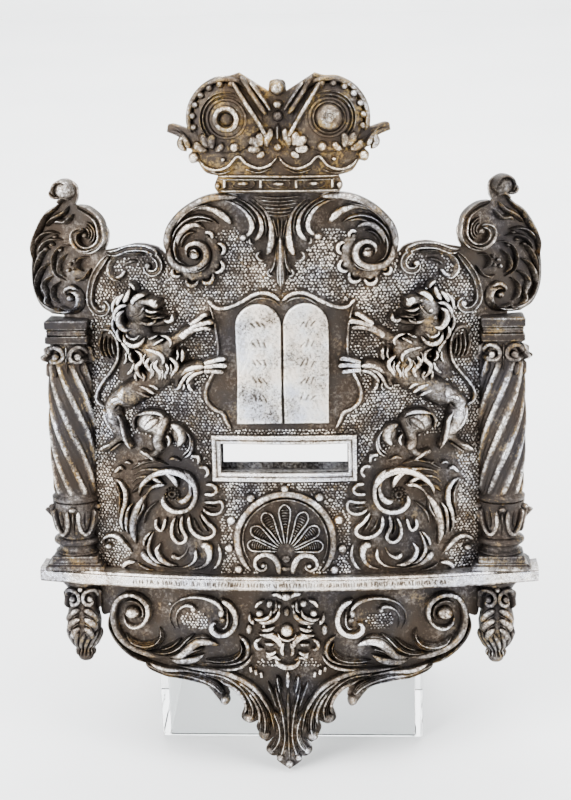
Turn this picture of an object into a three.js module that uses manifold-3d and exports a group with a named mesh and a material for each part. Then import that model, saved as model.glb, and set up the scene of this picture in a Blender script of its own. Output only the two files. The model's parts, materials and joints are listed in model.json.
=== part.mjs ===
// A torah shield of cast and chased silver, leaning back on its clear stand.
// Millimetres, +Z up, the front faces -Y, the origin is under the middle of the whole.
// The relief is drawn flat, as [x across, z above the tip] and a height, and bent round the plate.
import * as THREE from 'three';
import { mergeVertices } from 'three/addons/utils/BufferGeometryUtils.js';
import Module from 'manifold-3d';

const wasm = await Module();
wasm.setup();

// Driving dimensions: the plate
const BEND_RADIUS = 300;
const SHEET = 2.4;
const LEAN_DEGREES = 10;
const PLATE_TOP = 316;
const SIDE_EDGE = 113;
const STRIP_COUNT = 10;
const SOLDER_GAP = 0.35;
const BURY = 1.3;
const OVERLAP = 0.1;

// Driving dimensions: the tablets, the plaque window and the palmette
const TABLET = { halfWidth: 23, bottom: 185.5, spring: 235.2, slit: 1.1, thick: 2.2 };
const WINDOW = { halfWidth: 32, low: 160, high: 175.2, rim: 4.4, proud: 3.4 };
const CHANNEL = { wall: 1.2, depth: 6.6, lip: 3.1, top: 183 };
const PALMETTE = { z: 124.5, ring: 24.3, innerRing: 20.6, heart: 118.5 };

// Driving dimensions: the ledge, the columns, the pendants and the crown
const LEDGE = { halfLength: 129.3, low: 99, high: 106, frontMiddle: -6, frontEnd: 11.6 };
const COLUMN = { x: 110, radius: 11.4, swell: 1.1, ribs: 9, ribDepth: 1.5, turn: 150 };
const COLUMN_LEVEL = {
  plinth: 109.8, step: 113.6, scotia: 118.6, ring: 122, cup: 141.6, collar: 144.6,
  shaft: 215, capital: 228.4, abacus: 237.2,
};
// [half width, reach in front of the axis] of the column's square blocks
const COLUMN_BLOCK = {
  plinth: [15.4, 13], step: [11.8, 11.6], capital: [10.8, 11], neck: [9.6, 9.8], abacus: [10.9, 11.2],
};
const PENDANT = { x: 108, low: 53, radius: 11.2, ball: 4.6 };
const CROWN = { ground: 5.5, lobeX: 24, lobeZ: 337.5, lobeRing: 12.2, rim: 19 };

// Driving dimensions: the clear stand
const STAND = { width: 140, depth: 80, height: 118, wall: 4 };

const radians = THREE.MathUtils.degToRad;
const lean = radians(LEAN_DEGREES);

// How far the face of the plate lies behind its middle
const faceDepth = (x) => BEND_RADIUS - Math.sqrt(BEND_RADIUS ** 2 - x * x);

// Bends a flat drawing (x across, y up, z towards the viewer) round the plate
function bend(geometry) {
  const at = geometry.attributes.position;
  for (let i = 0; i < at.count; i += 1) {
    const x = at.getX(i);
    const reach = BEND_RADIUS + at.getZ(i);
    const back = BEND_RADIUS - reach * Math.sqrt(1 - (x / BEND_RADIUS) ** 2);
    at.setXYZ(i, (reach * x) / BEND_RADIUS, back, at.getY(i));
  }
  return geometry;
}

// Turns a closed geometry into a solid for joining and cutting
function solid(geometry) {
  const bare = new THREE.BufferGeometry();
  bare.setAttribute('position', geometry.attributes.position);
  if (geometry.index) bare.setIndex(geometry.index);
  const merged = mergeVertices(bare, 1e-4);
  const position = merged.attributes.position;
  const corners = Array.from(merged.index.array);
  const triVerts = [];
  for (let i = 0; i < corners.length; i += 3) {
    const [a, b, c] = corners.slice(i, i + 3);
    if (a !== b && b !== c && c !== a) triVerts.push(a, b, c);
  }
  return new wasm.Manifold(new wasm.Mesh({
    numProp: 3,
    vertProperties: new Float32Array(position.array),
    triVerts: new Uint32Array(triVerts),
  }));
}

const join = (solids) => solids.reduce((whole, next) => whole.add(next));

function toGeometry(body) {
  const mesh = body.getMesh();
  const geometry = new THREE.BufferGeometry();
  geometry.setAttribute('position', new THREE.BufferAttribute(mesh.vertProperties, 3));
  geometry.setIndex(new THREE.BufferAttribute(mesh.triVerts, 1));
  geometry.computeVertexNormals();
  return geometry;
}

// A curved band that follows the plate, between two heights above its face
function band(low, high, bottom, top, strips = STRIP_COUNT, reach = 136) {
  const half = Math.asin(reach / BEND_RADIUS);
  const shape = new THREE.Shape();
  shape.absarc(0, 0, BEND_RADIUS + high, -Math.PI / 2 - half, -Math.PI / 2 + half, false);
  shape.absarc(0, 0, BEND_RADIUS + low, -Math.PI / 2 + half, -Math.PI / 2 - half, true);
  const options = { depth: top - bottom, bevelEnabled: false, curveSegments: strips };
  const geometry = new THREE.ExtrudeGeometry(shape, options);
  geometry.translate(0, BEND_RADIUS, bottom);
  return solid(geometry);
}

// A prism that stands out of the drawing, to cut an outline from a band
function prism(shape, pointsPerCurve = 2) {
  const reach = 90;
  const options = { depth: reach, bevelEnabled: false, curveSegments: pointsPerCurve };
  const geometry = new THREE.ExtrudeGeometry(shape, options);
  geometry.rotateX(Math.PI / 2);
  geometry.translate(0, reach - 30, 0);
  return solid(geometry);
}

const box = (x0, x1, y0, y1, z0, z1) => {
  const geometry = new THREE.BoxGeometry(x1 - x0, y1 - y0, z1 - z0);
  geometry.translate((x0 + x1) / 2, (y0 + y1) / 2, (z0 + z1) / 2);
  return solid(geometry);
};

// Everything behind the face of the plate, which cuts the back of what is soldered on it
const behindFace = band(-60, SOLDER_GAP, -20, 400, STRIP_COUNT + 4, 185);

// Both halves of an outline, from its right half
function wholeShape(half) {
  const points = half.getPoints(2);
  const left = points.slice(1, -1).reverse().map((p) => new THREE.Vector2(-p.x, p.y));
  return new THREE.Shape([...points, ...left]);
}

const vectors = (list) => list.map(([x, z]) => new THREE.Vector2(x, z));
const mirrored = (path) => path.map(([x, z]) => [-x, z]);

// Paths in the flat drawing
function through(list, steps) {
  return new THREE.SplineCurve(vectors(list)).getSpacedPoints(steps).map((p) => [p.x, p.y]);
}

function spiral(x, z, innerRadius, outerRadius, from, to, steps) {
  const path = [];
  for (let i = 0; i <= steps; i += 1) {
    const t = i / steps;
    const angle = radians(from + (to - from) * t);
    const radius = innerRadius * (outerRadius / innerRadius) ** t;
    path.push([x + radius * Math.cos(angle), z + radius * Math.sin(angle)]);
  }
  return path;
}

const arc = (x, z, radius, from, to, steps) => spiral(x, z, radius, radius, from, to, steps);

// How the width of a chased line changes from its start (0) to its end (1)
const LEAF = (t) => Math.sin(Math.PI * t) ** 0.7;
const BAND = (t) => Math.min(1, 7 * t, 7 * (1 - t)) ** 0.5;

// A raised line: a sphere drawn out along a path, sharp on top, its lower half inside the sheet
function ridge(path, halfWidth, height, profile = LEAF, base = 0, sides = 4) {
  const steps = path.length - 1;
  const geometry = new THREE.SphereGeometry(1, sides, steps);
  const at = geometry.attributes.position;
  for (let i = 0; i < at.count; i += 1) {
    const station = Math.floor(i / (sides + 1));
    const turn = (2 * Math.PI * (i % (sides + 1))) / sides;
    const [x, z] = path[station];
    const [x0, z0] = path[Math.max(0, station - 1)];
    const [x1, z1] = path[Math.min(steps, station + 1)];
    const length = Math.hypot(x1 - x0, z1 - z0);
    const size = station === 0 || station === steps ? 0 : profile(station / steps);
    const across = -Math.cos(turn) * halfWidth * size;
    const up = Math.sin(turn);
    const rise = up > 0.01 ? up * height * Math.min(1, size * 1.3) : -0.4 + Math.min(0, up) * (BURY - 0.4);
    at.setXYZ(i, x - ((z1 - z0) / length) * across, z + ((x1 - x0) / length) * across,
      base + (size === 0 ? -0.4 : rise));
  }
  return bend(geometry);
}

// A bead or boss with a round top
function dome(x, z, radiusX, radiusZ, height, base = 0, sides = 5) {
  const geometry = new THREE.SphereGeometry(1, sides, 3);
  geometry.rotateX(Math.PI / 2);
  const at = geometry.attributes.position;
  for (let i = 0; i < at.count; i += 1) {
    const up = at.getZ(i);
    const rise = up > 0 ? Math.sqrt(up) * height : up * BURY;
    at.setXYZ(i, x + at.getX(i) * radiusX, z + at.getY(i) * radiusZ, base + rise);
  }
  return bend(geometry);
}

// The relief of one half is collected here and repeated, mirrored, on the other
class Relief {
  constructor(base = 0) {
    this.base = base;
    this.parts = [];
  }

  line(path, halfWidth, height, profile = LEAF, sides = 4) {
    this.parts.push(ridge(path, halfWidth, height, profile, this.base, sides));
  }

  pair(path, halfWidth, height, profile = LEAF, sides = 4) {
    this.line(path, halfWidth, height, profile, sides);
    this.line(mirrored(path), halfWidth, height, profile, sides);
  }

  bead(x, z, radius, height = radius, tall = radius, sides = 5) {
    this.parts.push(dome(x, z, radius, tall, height, this.base, sides));
  }

  beads(x, z, radius, height = radius, tall = radius, sides = 5) {
    this.bead(x, z, radius, height, tall, sides);
    this.bead(-x, z, radius, height, tall, sides);
  }

  joinedTo(body) {
    return this.parts.reduce((whole, part) => whole.add(solid(part)), body);
  }
}

// Adds a smooth stretch of outline, cut into a stated number of steps
function trace(edge, list, steps) {
  for (const [x, z] of through(list, steps)) edge.lineTo(x, z);
}

// The outline of the plate, right half, from the tip up
function plateOutline() {
  const edge = new THREE.Path();
  edge.moveTo(0, 0);
  edge.lineTo(6.4, 4.8);
  edge.lineTo(5.6, 7.4);
  trace(edge, [[9.4, 7.6], [12.2, 11.4], [7.8, 18]], 3);
  trace(edge, [[12.2, 15.2], [16.9, 22.6], [15.8, 27]], 3);
  trace(edge, [[20.4, 25.2], [24.8, 28.4], [23, 37], [28.6, 46.4]], 5);
  trace(edge, [[31.4, 44.4], [30.6, 40.6], [34.4, 35], [36.8, 38], [44, 45.4], [60, 50.8]], 7);
  trace(edge, [[72, 54.4], [83, 60], [90, 67.6], [93.6, 80.4]], 5);
  edge.lineTo(98.4, 79.6);
  edge.lineTo(101, 90);
  edge.lineTo(SIDE_EDGE, 95);
  edge.lineTo(SIDE_EDGE, 237.8);
  edge.lineTo(119.6, 238);
  trace(edge, [[126.4, 242.6], [130.2, 254], [128.6, 272], [122.4, 286], [113.6, 295]], 5);
  const curledTip = [
    [113, 298.6], [116, 300.6], [114.4, 305.6], [109, 307.4], [103.4, 304], [103, 298], [104.6, 294.6],
  ];
  trace(edge, curledTip, 7);
  trace(edge, [[96, 291.6], [87.8, 283], [87.6, 276.4], [89.4, 272]], 4);
  trace(edge, [[82, 273.6], [72, 276], [62, 274.4], [57.6, 270.4]], 4);
  trace(edge, [[57.4, 277], [50.4, 289.8], [40, 297.6], [28, 301]], 5);
  edge.lineTo(18, 301);
  edge.lineTo(18, PLATE_TOP);
  edge.lineTo(0, PLATE_TOP);
  return wholeShape(edge);
}

// Volutes and acanthus under the crown, and the pendent leaf between them
function upperScrolls(relief) {
  const eye = [43.6, 270];
  relief.pair(spiral(...eye, 3.6, 12.4, 60, 385, 8), 2, 4, BAND);
  relief.pair(through([[54.8, 272], [54.8, 279.6], [47, 289], [38, 295], [28, 298.4]], 5), 2.3, 4.2, BAND);
  relief.beads(...eye, 3.2, 3.4);
  relief.pair(through([[24, 286], [31, 291], [40, 291.4], [49, 285], [52.4, 276]], 3), 2.2, 3);
  relief.pair(through([[34, 298], [21, 295.4], [13.4, 288], [14, 281], [20, 277.4]], 4), 2, 3.2);
  relief.pair(through([[24, 298], [12.4, 291], [10.4, 283], [14.8, 273.4]], 3), 2, 3);
  relief.pair(through([[16, 297], [8, 289], [6.6, 279], [11.6, 269]], 3), 2, 2.8);
  relief.pair(through([[11, 296], [4.4, 289], [2.2, 280], [4, 268], [7, 261]], 3), 1.6, 3);
  relief.line(through([[0, 276], [0, 265], [0, 253]], 3), 3.4, 3.6);
}

// Small scrolls on the shoulders and the long hook beside each column
function shoulderScrolls(relief) {
  relief.pair(spiral(64.6, 265, 2.6, 7.6, 20, -250, 6), 1.8, 2.8, BAND);
  relief.pair(through([[60.6, 269], [66, 273.4], [75, 273.6], [84, 270.6], [88.4, 271]], 3), 1.3, 2.6);
  relief.pair(through([[80.6, 270], [85.4, 266], [86.2, 260.6], [80.6, 257.6]], 3), 1.7, 2.6);
  relief.pair(
    through([[87.6, 268], [94, 261], [98, 250], [96.4, 238], [91, 235], [88, 239]], 5),
    1.6, 2.6, BAND,
  );
}

// Finials: a scrolled leaf with a curled tip, over each column
function finials(relief) {
  relief.pair(spiral(98, 280, 3.4, 9.6, 20, -240, 6), 1.9, 3.6, BAND);
  relief.pair(spiral(110.4, 248.6, 2.6, 12.6, 10, 385, 8), 1.9, 3.6, BAND);
  relief.beads(109.2, 301.6, 5, 5.4, 4.6, 6);
  relief.pair(
    through([[109, 299], [110.4, 292], [117, 283], [125, 271], [128, 258], [127, 249]], 4),
    2.2, 3.8,
  );
  relief.pair(through([[104, 290], [112, 285], [118, 276], [123.4, 266]], 3), 2.4, 3.4);
}

// Raised rim of the field behind the tablets
function cartouche(relief) {
  relief.pair(
    through([[0, 247.4], [5, 251], [13, 251.2], [22, 246.6], [30, 244.2], [36, 246.6]], 5),
    1.5, 2.4, BAND,
  );
  relief.pair(
    through([[36.2, 246.6], [33.6, 239], [32.2, 228], [33, 218], [36.6, 208], [38.8, 201]], 3),
    1.3, 2, BAND,
  );
  relief.pair(
    through([[38.8, 201.6], [36.4, 194.4], [29.6, 190.8], [28.2, 186], [25.6, 182]], 4),
    1.3, 2, BAND,
  );
}

// A rampant lion in profile, its paws on the field of the tablets
function lion(relief) {
  relief.pair(through([[56, 219], [64, 211], [75, 203], [86, 193]], 3), 8.4, 6.2, LEAF, 6);
  relief.pair(through([[84, 199], [88, 190], [85, 180], [80.4, 172]], 3), 5.2, 5, BAND);
  relief.pair(through([[79.4, 173.4], [86, 171], [93, 168.6], [96.6, 165]], 3), 2.6, 4, BAND);
  relief.pair(through([[74, 193], [66, 187.4], [61, 181], [60, 173]], 3), 5.6, 5.6);
  relief.pair(through([[60, 186], [55, 184], [52, 177], [58, 170], [68, 168.4]], 4), 3, 4.2, BAND);
  relief.pair(through([[60, 222], [52, 229], [44, 236], [35.4, 239]], 3), 3.1, 4.6, BAND);
  relief.pair(through([[58, 213], [48, 214.6], [38, 214.6], [29.4, 215.6]], 3), 3.1, 4.6, BAND);
  for (const [x, z] of [[36, 237], [29.6, 215]]) {
    for (const toe of [-1, 1]) {
      relief.pair([[x + 6, z + toe], [x + 2, z + 2.4 * toe], [x - 2.6, z + 2.8 * toe]], 1.5, 4);
    }
  }
  relief.beads(70, 241.6, 8.4, 7.4, 7.6, 6);
  relief.pair([[70, 247.6], [64.6, 247], [60.4, 245], [59, 243]], 3, 6.4, BAND);
  relief.pair(through([[70, 236.6], [63, 236.4], [57, 237], [54.6, 240.6]], 3), 1.9, 4.4, BAND);
  for (let lock = 0; lock < 4; lock += 1) {
    const x = 56.6 + 6.2 * lock;
    const top = 230 - 0.6 * lock;
    relief.pair([[x + 3, top + 2], [x - 1, top - 6], [x + 2, top - 13], [x - 2, top - 20]], 2.4, 7.2);
  }
  for (let curl = 0; curl < 3; curl += 1) {
    const z = 249.6 - 6.6 * curl;
    relief.pair(through([[72, z], [79, z], [82.4 - curl, z - 5], [79 - curl, z - 9]], 3), 2.2, 6);
  }
  relief.pair(
    through([[92, 192], [97, 198], [92.6, 205], [85, 213], [83, 222], [88.6, 229.4]], 5),
    1.4, 2.8, BAND,
  );
  relief.pair([[91, 231], [93.4, 222], [90, 214.6]], 3.4, 3);
}

// Palmette in a double ring, with its two volutes and nine balls
function palmette(relief) {
  const { z, ring, innerRing, heart } = PALMETTE;
  relief.line(arc(0, z, ring, -46, 226, 11), 1.6, 2.4, BAND);
  relief.line(arc(0, z, innerRing, -42, 222, 9), 1.2, 1.8, BAND);
  for (const [turn, length] of [[90, 24.6], [62, 22.8], [36, 21.2], [11, 19]]) {
    const step = (reach) => [Math.cos(radians(turn)) * reach, heart + Math.sin(radians(turn)) * reach];
    const path = [step(5), step(length * 0.72), step(length)];
    if (turn === 90) relief.line(path, 3, 2.8);
    else relief.pair(path, 3, 2.8);
  }
  relief.pair(spiral(10.4, 111.6, 2.4, 6, -60, 200, 5), 1.7, 3, BAND);
  relief.bead(0, 151.8, 2.4, 2.8);
  const balls = [[17.6, 147], [27, 135.4], [29, 120], [24.4, 109.2]];
  for (const [x, height] of balls) relief.beads(x, height, 2.5, 2.8);
}

// Swirling leaf rosette in each lower corner of the field
function rosette(relief) {
  relief.pair(spiral(56.6, 150.6, 5, 12.6, -30, -300, 7), 2, 4, BAND);
  relief.pair(
    through([[57, 148], [51.6, 151], [53, 158.6], [60, 163.6], [70, 163.4], [80, 158]], 5),
    1.9, 3.8,
  );
  relief.pair(through([[57.4, 151.8], [58.6, 157], [65, 160.8], [74, 159], [81.6, 152]], 4), 1.8, 3.6);
  relief.pair(through([[63.4, 153], [69, 156.8], [77, 154.4], [81.4, 148]], 3), 1.7, 3.2);
  relief.pair(through([[70.6, 148], [76.4, 140], [79.6, 130], [78, 119]], 3), 2.2, 3.6);
  relief.pair(through([[90.4, 153.6], [84.4, 151], [83.4, 144], [86, 136], [83.6, 123]], 4), 1.5, 2.6);
  const petals = [[46, 143.6, 188, 13], [47, 138.6, 222, 14], [53.6, 137.4, 262, 14], [60, 137, 296, 9]];
  for (const [x, z, turn, length] of petals) {
    const step = (reach) => [x + Math.cos(radians(turn)) * reach, z + Math.sin(radians(turn)) * reach];
    relief.pair([step(0), step(length * 0.66), step(length)], 3.2, 3);
  }
  relief.pair(through([[43.6, 121.6], [38.2, 119.4], [39.6, 112], [47, 108.6], [58, 108.8]], 4), 2.4, 3.6);
  relief.pair(through([[45.6, 118.4], [46, 112.6], [54, 109.6], [64, 111.6], [68.6, 118]], 4), 1.8, 3.2);
  relief.pair(through([[68, 127.6], [73, 122], [75.6, 115], [68, 108.4]], 3), 1.9, 3);
  relief.pair(
    through([[80, 115.4], [85, 121.4], [92, 123.4], [96.4, 119], [92.6, 115.6]], 4),
    1.6, 2.6, BAND,
  );
}

// Apron below the ledge: end volutes, scrolls, acanthus and fronds that fall to the tip
function apron(relief) {
  relief.pair(spiral(80.4, 83, 7.6, 10.6, -110, -400, 7), 1.8, 3.8, BAND);
  const sweep = [[91, 76], [87, 67.6], [80, 63], [70, 61], [58, 60], [49, 62], [42, 70], [35.4, 69]];
  relief.pair(through(sweep, 8), 2.2, 3.8);
  relief.beads(80.4, 83, 4.6, 4, 4.6, 6);
  relief.pair(through([[65.2, 76.6], [65.8, 70], [72, 66], [80, 67.4]], 3), 1.8, 3);
  relief.pair(through([[37.4, 79], [33, 74.6], [27, 78.4], [25.2, 86], [31, 93.2]], 4), 1.9, 3.6, BAND);
  relief.pair(
    through([[33.4, 84.4], [36, 91.6], [47, 93.4], [58, 89.6], [60, 80], [57.2, 75.4]], 5),
    1.8, 3.4,
  );
  relief.pair(through([[48, 74.4], [56, 70], [64, 63.6], [76, 62.4]], 3), 2, 3);
  relief.pair(through([[25, 73.6], [20.6, 69], [22, 63], [32, 58.4], [50, 57.4]], 4), 1.8, 3.2);
  relief.pair(through([[33.6, 37.6], [37.4, 43.4], [48, 50], [64, 54], [82, 61.4], [91, 72]], 5), 2.1, 3);
  relief.bead(0, 77, 3.6, 3.6, 3.6, 6);
  relief.bead(0, 93, 3.4, 3, 2.6);
  for (const [x, z, tall] of [[12, 87, 2.6], [19.4, 77, 3.2]]) relief.beads(x, z, 2.4, 2.6, tall, 4);
  relief.pair(through([[2.8, 66.4], [6, 72.6], [12, 72], [14.6, 67.6]], 3), 1.6, 2.8);
  relief.line([[-6, 62], [0, 58], [6, 62]], 2, 3);
  relief.line([[0, 57], [0, 40], [0, 20], [0, 3]], 2.2, 3.4);
  relief.pair(through([[30, 54], [17, 46.6], [9, 34], [7, 20], [9.6, 10]], 4), 2, 3.2);
  relief.pair(through([[34, 51.6], [21, 45.4], [13.4, 34], [12.6, 18.6]], 3), 2, 3.2);
  relief.pair(through([[36, 49.4], [26, 46.6], [19.4, 38], [20.4, 28]], 3), 1.9, 3);
}

// The plate: the bent sheet with all its relief, pierced by the plaque window
function shieldPlate() {
  const sheet = band(-SHEET, 0, -1, PLATE_TOP + 1).intersect(prism(plateOutline()));
  const relief = new Relief();
  upperScrolls(relief);
  shoulderScrolls(relief);
  finials(relief);
  cartouche(relief);
  lion(relief);
  palmette(relief);
  rosette(relief);
  apron(relief);
  const windowHole = box(-WINDOW.halfWidth, WINDOW.halfWidth, -30, 60, WINDOW.low, WINDOW.high);
  return relief.joinedTo(sheet).subtract(windowHole);
}

// Two round-topped tablets in one sheet, parted by a slit
function tablets() {
  const radius = (TABLET.halfWidth - TABLET.slit / 2) / 2;
  const middle = TABLET.halfWidth - radius;
  const half = new THREE.Path();
  half.moveTo(0, TABLET.bottom);
  half.lineTo(TABLET.halfWidth, TABLET.bottom);
  half.lineTo(TABLET.halfWidth, TABLET.spring);
  half.absarc(middle, TABLET.spring, radius, 0, Math.PI, false);
  half.lineTo(0, TABLET.spring);
  const points = half.getPoints(8);
  const left = points.slice(1, -1).reverse().map((p) => new THREE.Vector2(-p.x, p.y));
  const outline = prism(new THREE.Shape([...points, ...left]));
  const sheet = band(SOLDER_GAP, TABLET.thick, TABLET.bottom - 2, 255).intersect(outline);
  const slit = box(-TABLET.slit / 2, TABLET.slit / 2, -30, -SOLDER_GAP - 0.7, 180, 260);
  return sheet.subtract(slit);
}

// The raised frame of the plaque window
function windowFrame() {
  const rectangle = (grow) => box(
    -WINDOW.halfWidth - grow, WINDOW.halfWidth + grow, -30, 60, WINDOW.low - grow, WINDOW.high + grow,
  );
  return band(SOLDER_GAP, WINDOW.proud, 150, 185).intersect(rectangle(WINDOW.rim)).subtract(rectangle(0));
}

// A plaque drops into this channel from above and rests on its floor behind the window
function plaqueChannel() {
  const half = WINDOW.halfWidth + 2.6;
  const front = SHEET + SOLDER_GAP;
  const back = faceDepth(half) + front + CHANNEL.depth;
  const outer = box(-half - CHANNEL.wall, half + CHANNEL.wall, 0, back, WINDOW.low - 1.4, CHANNEL.top);
  const slot = box(-half, half, -5, back - CHANNEL.wall, WINDOW.low - 1.4 + CHANNEL.wall, 200);
  const view = box(-half + 3, half - 3, -5, 60, WINDOW.low + CHANNEL.lip, 200);
  const plate = band(-SHEET - SOLDER_GAP, 30, 100, 220);
  return outer.subtract(slot).subtract(view).subtract(plate);
}

// The bow-fronted strip that carries the columns, its front edge bevelled by two steps
function ledge() {
  const shape = new THREE.Shape();
  const steps = 14;
  const rise = LEDGE.frontEnd - LEDGE.frontMiddle;
  for (let i = 0; i <= steps; i += 1) {
    const x = LEDGE.halfLength * ((2 * i) / steps - 1);
    const y = LEDGE.frontMiddle + rise * (x / LEDGE.halfLength) ** 2;
    if (i === 0) shape.moveTo(x, y);
    else shape.lineTo(x, y);
  }
  shape.lineTo(LEDGE.halfLength, 50);
  shape.lineTo(-LEDGE.halfLength, 50);
  const slab = (inset, low, high) => {
    const geometry = new THREE.ExtrudeGeometry(shape, { depth: high - low, bevelEnabled: false });
    geometry.translate(0, inset, low);
    return solid(geometry);
  };
  const strip = slab(1.2, LEDGE.low, LEDGE.high).add(slab(0, LEDGE.low + 1, LEDGE.high - 1));
  return strip.subtract(behindFace);
}

// A solid of revolution about an upright axis, from [radius, z] pairs
function turned(profile, x, y, sides) {
  const points = vectors([[0, profile[0][1]], ...profile, [0, profile.at(-1)[1]]]);
  const geometry = new THREE.LatheGeometry(points, sides);
  geometry.rotateX(Math.PI / 2);
  geometry.translate(x, y, 0);
  return solid(geometry);
}

// The spiral-ribbed shaft: two facets to a rib, turning as it rises
function twistedShaft(side, x, y) {
  const rows = 5;
  const columns = COLUMN.ribs * 2;
  const height = COLUMN_LEVEL.shaft - COLUMN_LEVEL.collar;
  const geometry = new THREE.CylinderGeometry(1, 1, height, columns, rows);
  geometry.rotateX(Math.PI / 2);
  const at = geometry.attributes.position;
  for (let i = 0; i < at.count; i += 1) {
    const t = at.getZ(i) / height + 0.5;
    const reach = Math.hypot(at.getX(i), at.getY(i));
    const angle = Math.atan2(at.getY(i), at.getX(i));
    const crest = Math.cos(COLUMN.ribs * angle);
    const radius = COLUMN.radius + COLUMN.swell * Math.sin(Math.PI * t) + (COLUMN.ribDepth / 2) * crest;
    const turn = angle + side * radians(COLUMN.turn) * t;
    const spread = reach > 0.5 ? radius : 0;
    at.setXYZ(i, x + spread * Math.cos(turn), y + spread * Math.sin(turn), at.getZ(i));
  }
  geometry.translate(0, 0, COLUMN_LEVEL.collar + height / 2);
  return solid(geometry);
}

// A scroll end or ball that faces forward
function boss(x, y, z, radius, depth, sides) {
  const geometry = new THREE.SphereGeometry(1, sides, 3);
  geometry.rotateX(Math.PI / 2);
  geometry.scale(radius, depth, radius);
  geometry.translate(x, y, z);
  return solid(geometry);
}

// Half-round column: stepped plinth, waisted foot, leaf cup, twisted shaft and scrolled capital
function column(side) {
  const x = side * COLUMN.x;
  const y = faceDepth(COLUMN.x) - 1.5;
  const level = COLUMN_LEVEL;
  const foot = LEDGE.high + SOLDER_GAP;
  const neckFoot = level.capital + 2.8;
  const neckTop = level.capital + 5;
  const block = ([half, front], low, high) => box(x - half, x + half, y - front, y + 40, low, high);
  const parts = [
    block(COLUMN_BLOCK.plinth, foot, level.plinth),
    block(COLUMN_BLOCK.step, level.plinth - OVERLAP, level.step),
    turned([
      [8.4, level.step - OVERLAP], [7.4, level.scotia - 2], [9.4, level.scotia], [9.4, level.ring],
      [13.2, level.cup - 4], [11, level.cup], [13.2, level.cup + 0.4], [13.2, level.collar + OVERLAP],
    ], x, y, 10),
    twistedShaft(side, x, y),
    turned([[10.6, level.shaft - OVERLAP], [12, level.capital]], x, y, 8),
    block(COLUMN_BLOCK.capital, level.capital - OVERLAP, neckFoot),
    block(COLUMN_BLOCK.neck, neckFoot - OVERLAP, neckTop),
    block(COLUMN_BLOCK.abacus, neckTop - OVERLAP, level.abacus),
  ];
  for (const hand of [-1, 1]) {
    parts.push(boss(x + hand * 8.2, y - 7.6, level.capital - 6.6, 5.6, 4.4, 6));
    parts.push(boss(x + hand * 12, y - 5, level.cup - 5.4, 3.6, 4.4, 5));
  }
  return join(parts).subtract(behindFace);
}

// A drop wrapped in rows of leaves, each row standing between the leaves of the last
function leafDrop(x, y) {
  const rows = 6;
  const leaves = 4;
  const geometry = new THREE.CylinderGeometry(1, 1, 1, leaves * 2, rows);
  geometry.rotateX(Math.PI / 2);
  const at = geometry.attributes.position;
  const foot = PENDANT.low + PENDANT.ball;
  const height = LEDGE.low - SOLDER_GAP - foot;
  for (let i = 0; i < at.count; i += 1) {
    const t = at.getZ(i) + 0.5;
    const row = Math.round(t * rows);
    const angle = Math.atan2(at.getY(i), at.getX(i));
    const leaf = 1 + 0.16 * Math.cos(leaves * angle) * (row % 2 ? 1 : -1);
    const swell = PENDANT.radius * Math.min(1, 0.2 + 1.7 * t) * leaf * (t > 0.8 ? 0.82 : 1);
    const spread = Math.hypot(at.getX(i), at.getY(i)) > 0.5 ? swell : 0;
    at.setXYZ(i, x + spread * Math.cos(angle), y + spread * Math.sin(angle), foot + height * t);
  }
  return solid(geometry);
}

// A leafy drop under two volutes, with a ball at its tip
function pendant(side) {
  const x = side * PENDANT.x;
  const y = faceDepth(PENDANT.x) - 1;
  const scroll = LEDGE.low - SOLDER_GAP - 7.6;
  const parts = [leafDrop(x, y), boss(x - side * 2, y - 1.4, PENDANT.low + 3.2, 4.4, 4.2, 6)];
  for (const hand of [-1, 1]) {
    parts.push(boss(x + hand * 7, y - 5, scroll, 6.4, 5.4, 6));
    parts.push(boss(x + hand * 5.6, y - 9.6, scroll, 2.4, 2.4, 5));
  }
  return join(parts).subtract(behindFace);
}

// The outline of the crown, right half, from the band up
function crownOutline() {
  const edge = new THREE.Path();
  edge.moveTo(0, 301.4);
  edge.lineTo(29, 301.4);
  edge.lineTo(30.8, 304.8);
  edge.lineTo(29, 309.6);
  trace(edge, [[35, 311.4], [38.6, 316.4]], 1);
  trace(edge, [[42, 316], [43.4, 319.4], [41.4, 322]], 2);
  trace(edge, [[47, 328], [53.6, 331], [52, 335], [43.8, 332.8]], 4);
  trace(edge, [[43.6, 340], [38.6, 351], [30, 356.8], [22.6, 357.6]], 4);
  edge.lineTo(18, 359);
  edge.lineTo(4.2, 350.4);
  edge.lineTo(3.4, 355);
  edge.lineTo(0, 356);
  return wholeShape(edge);
}

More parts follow.
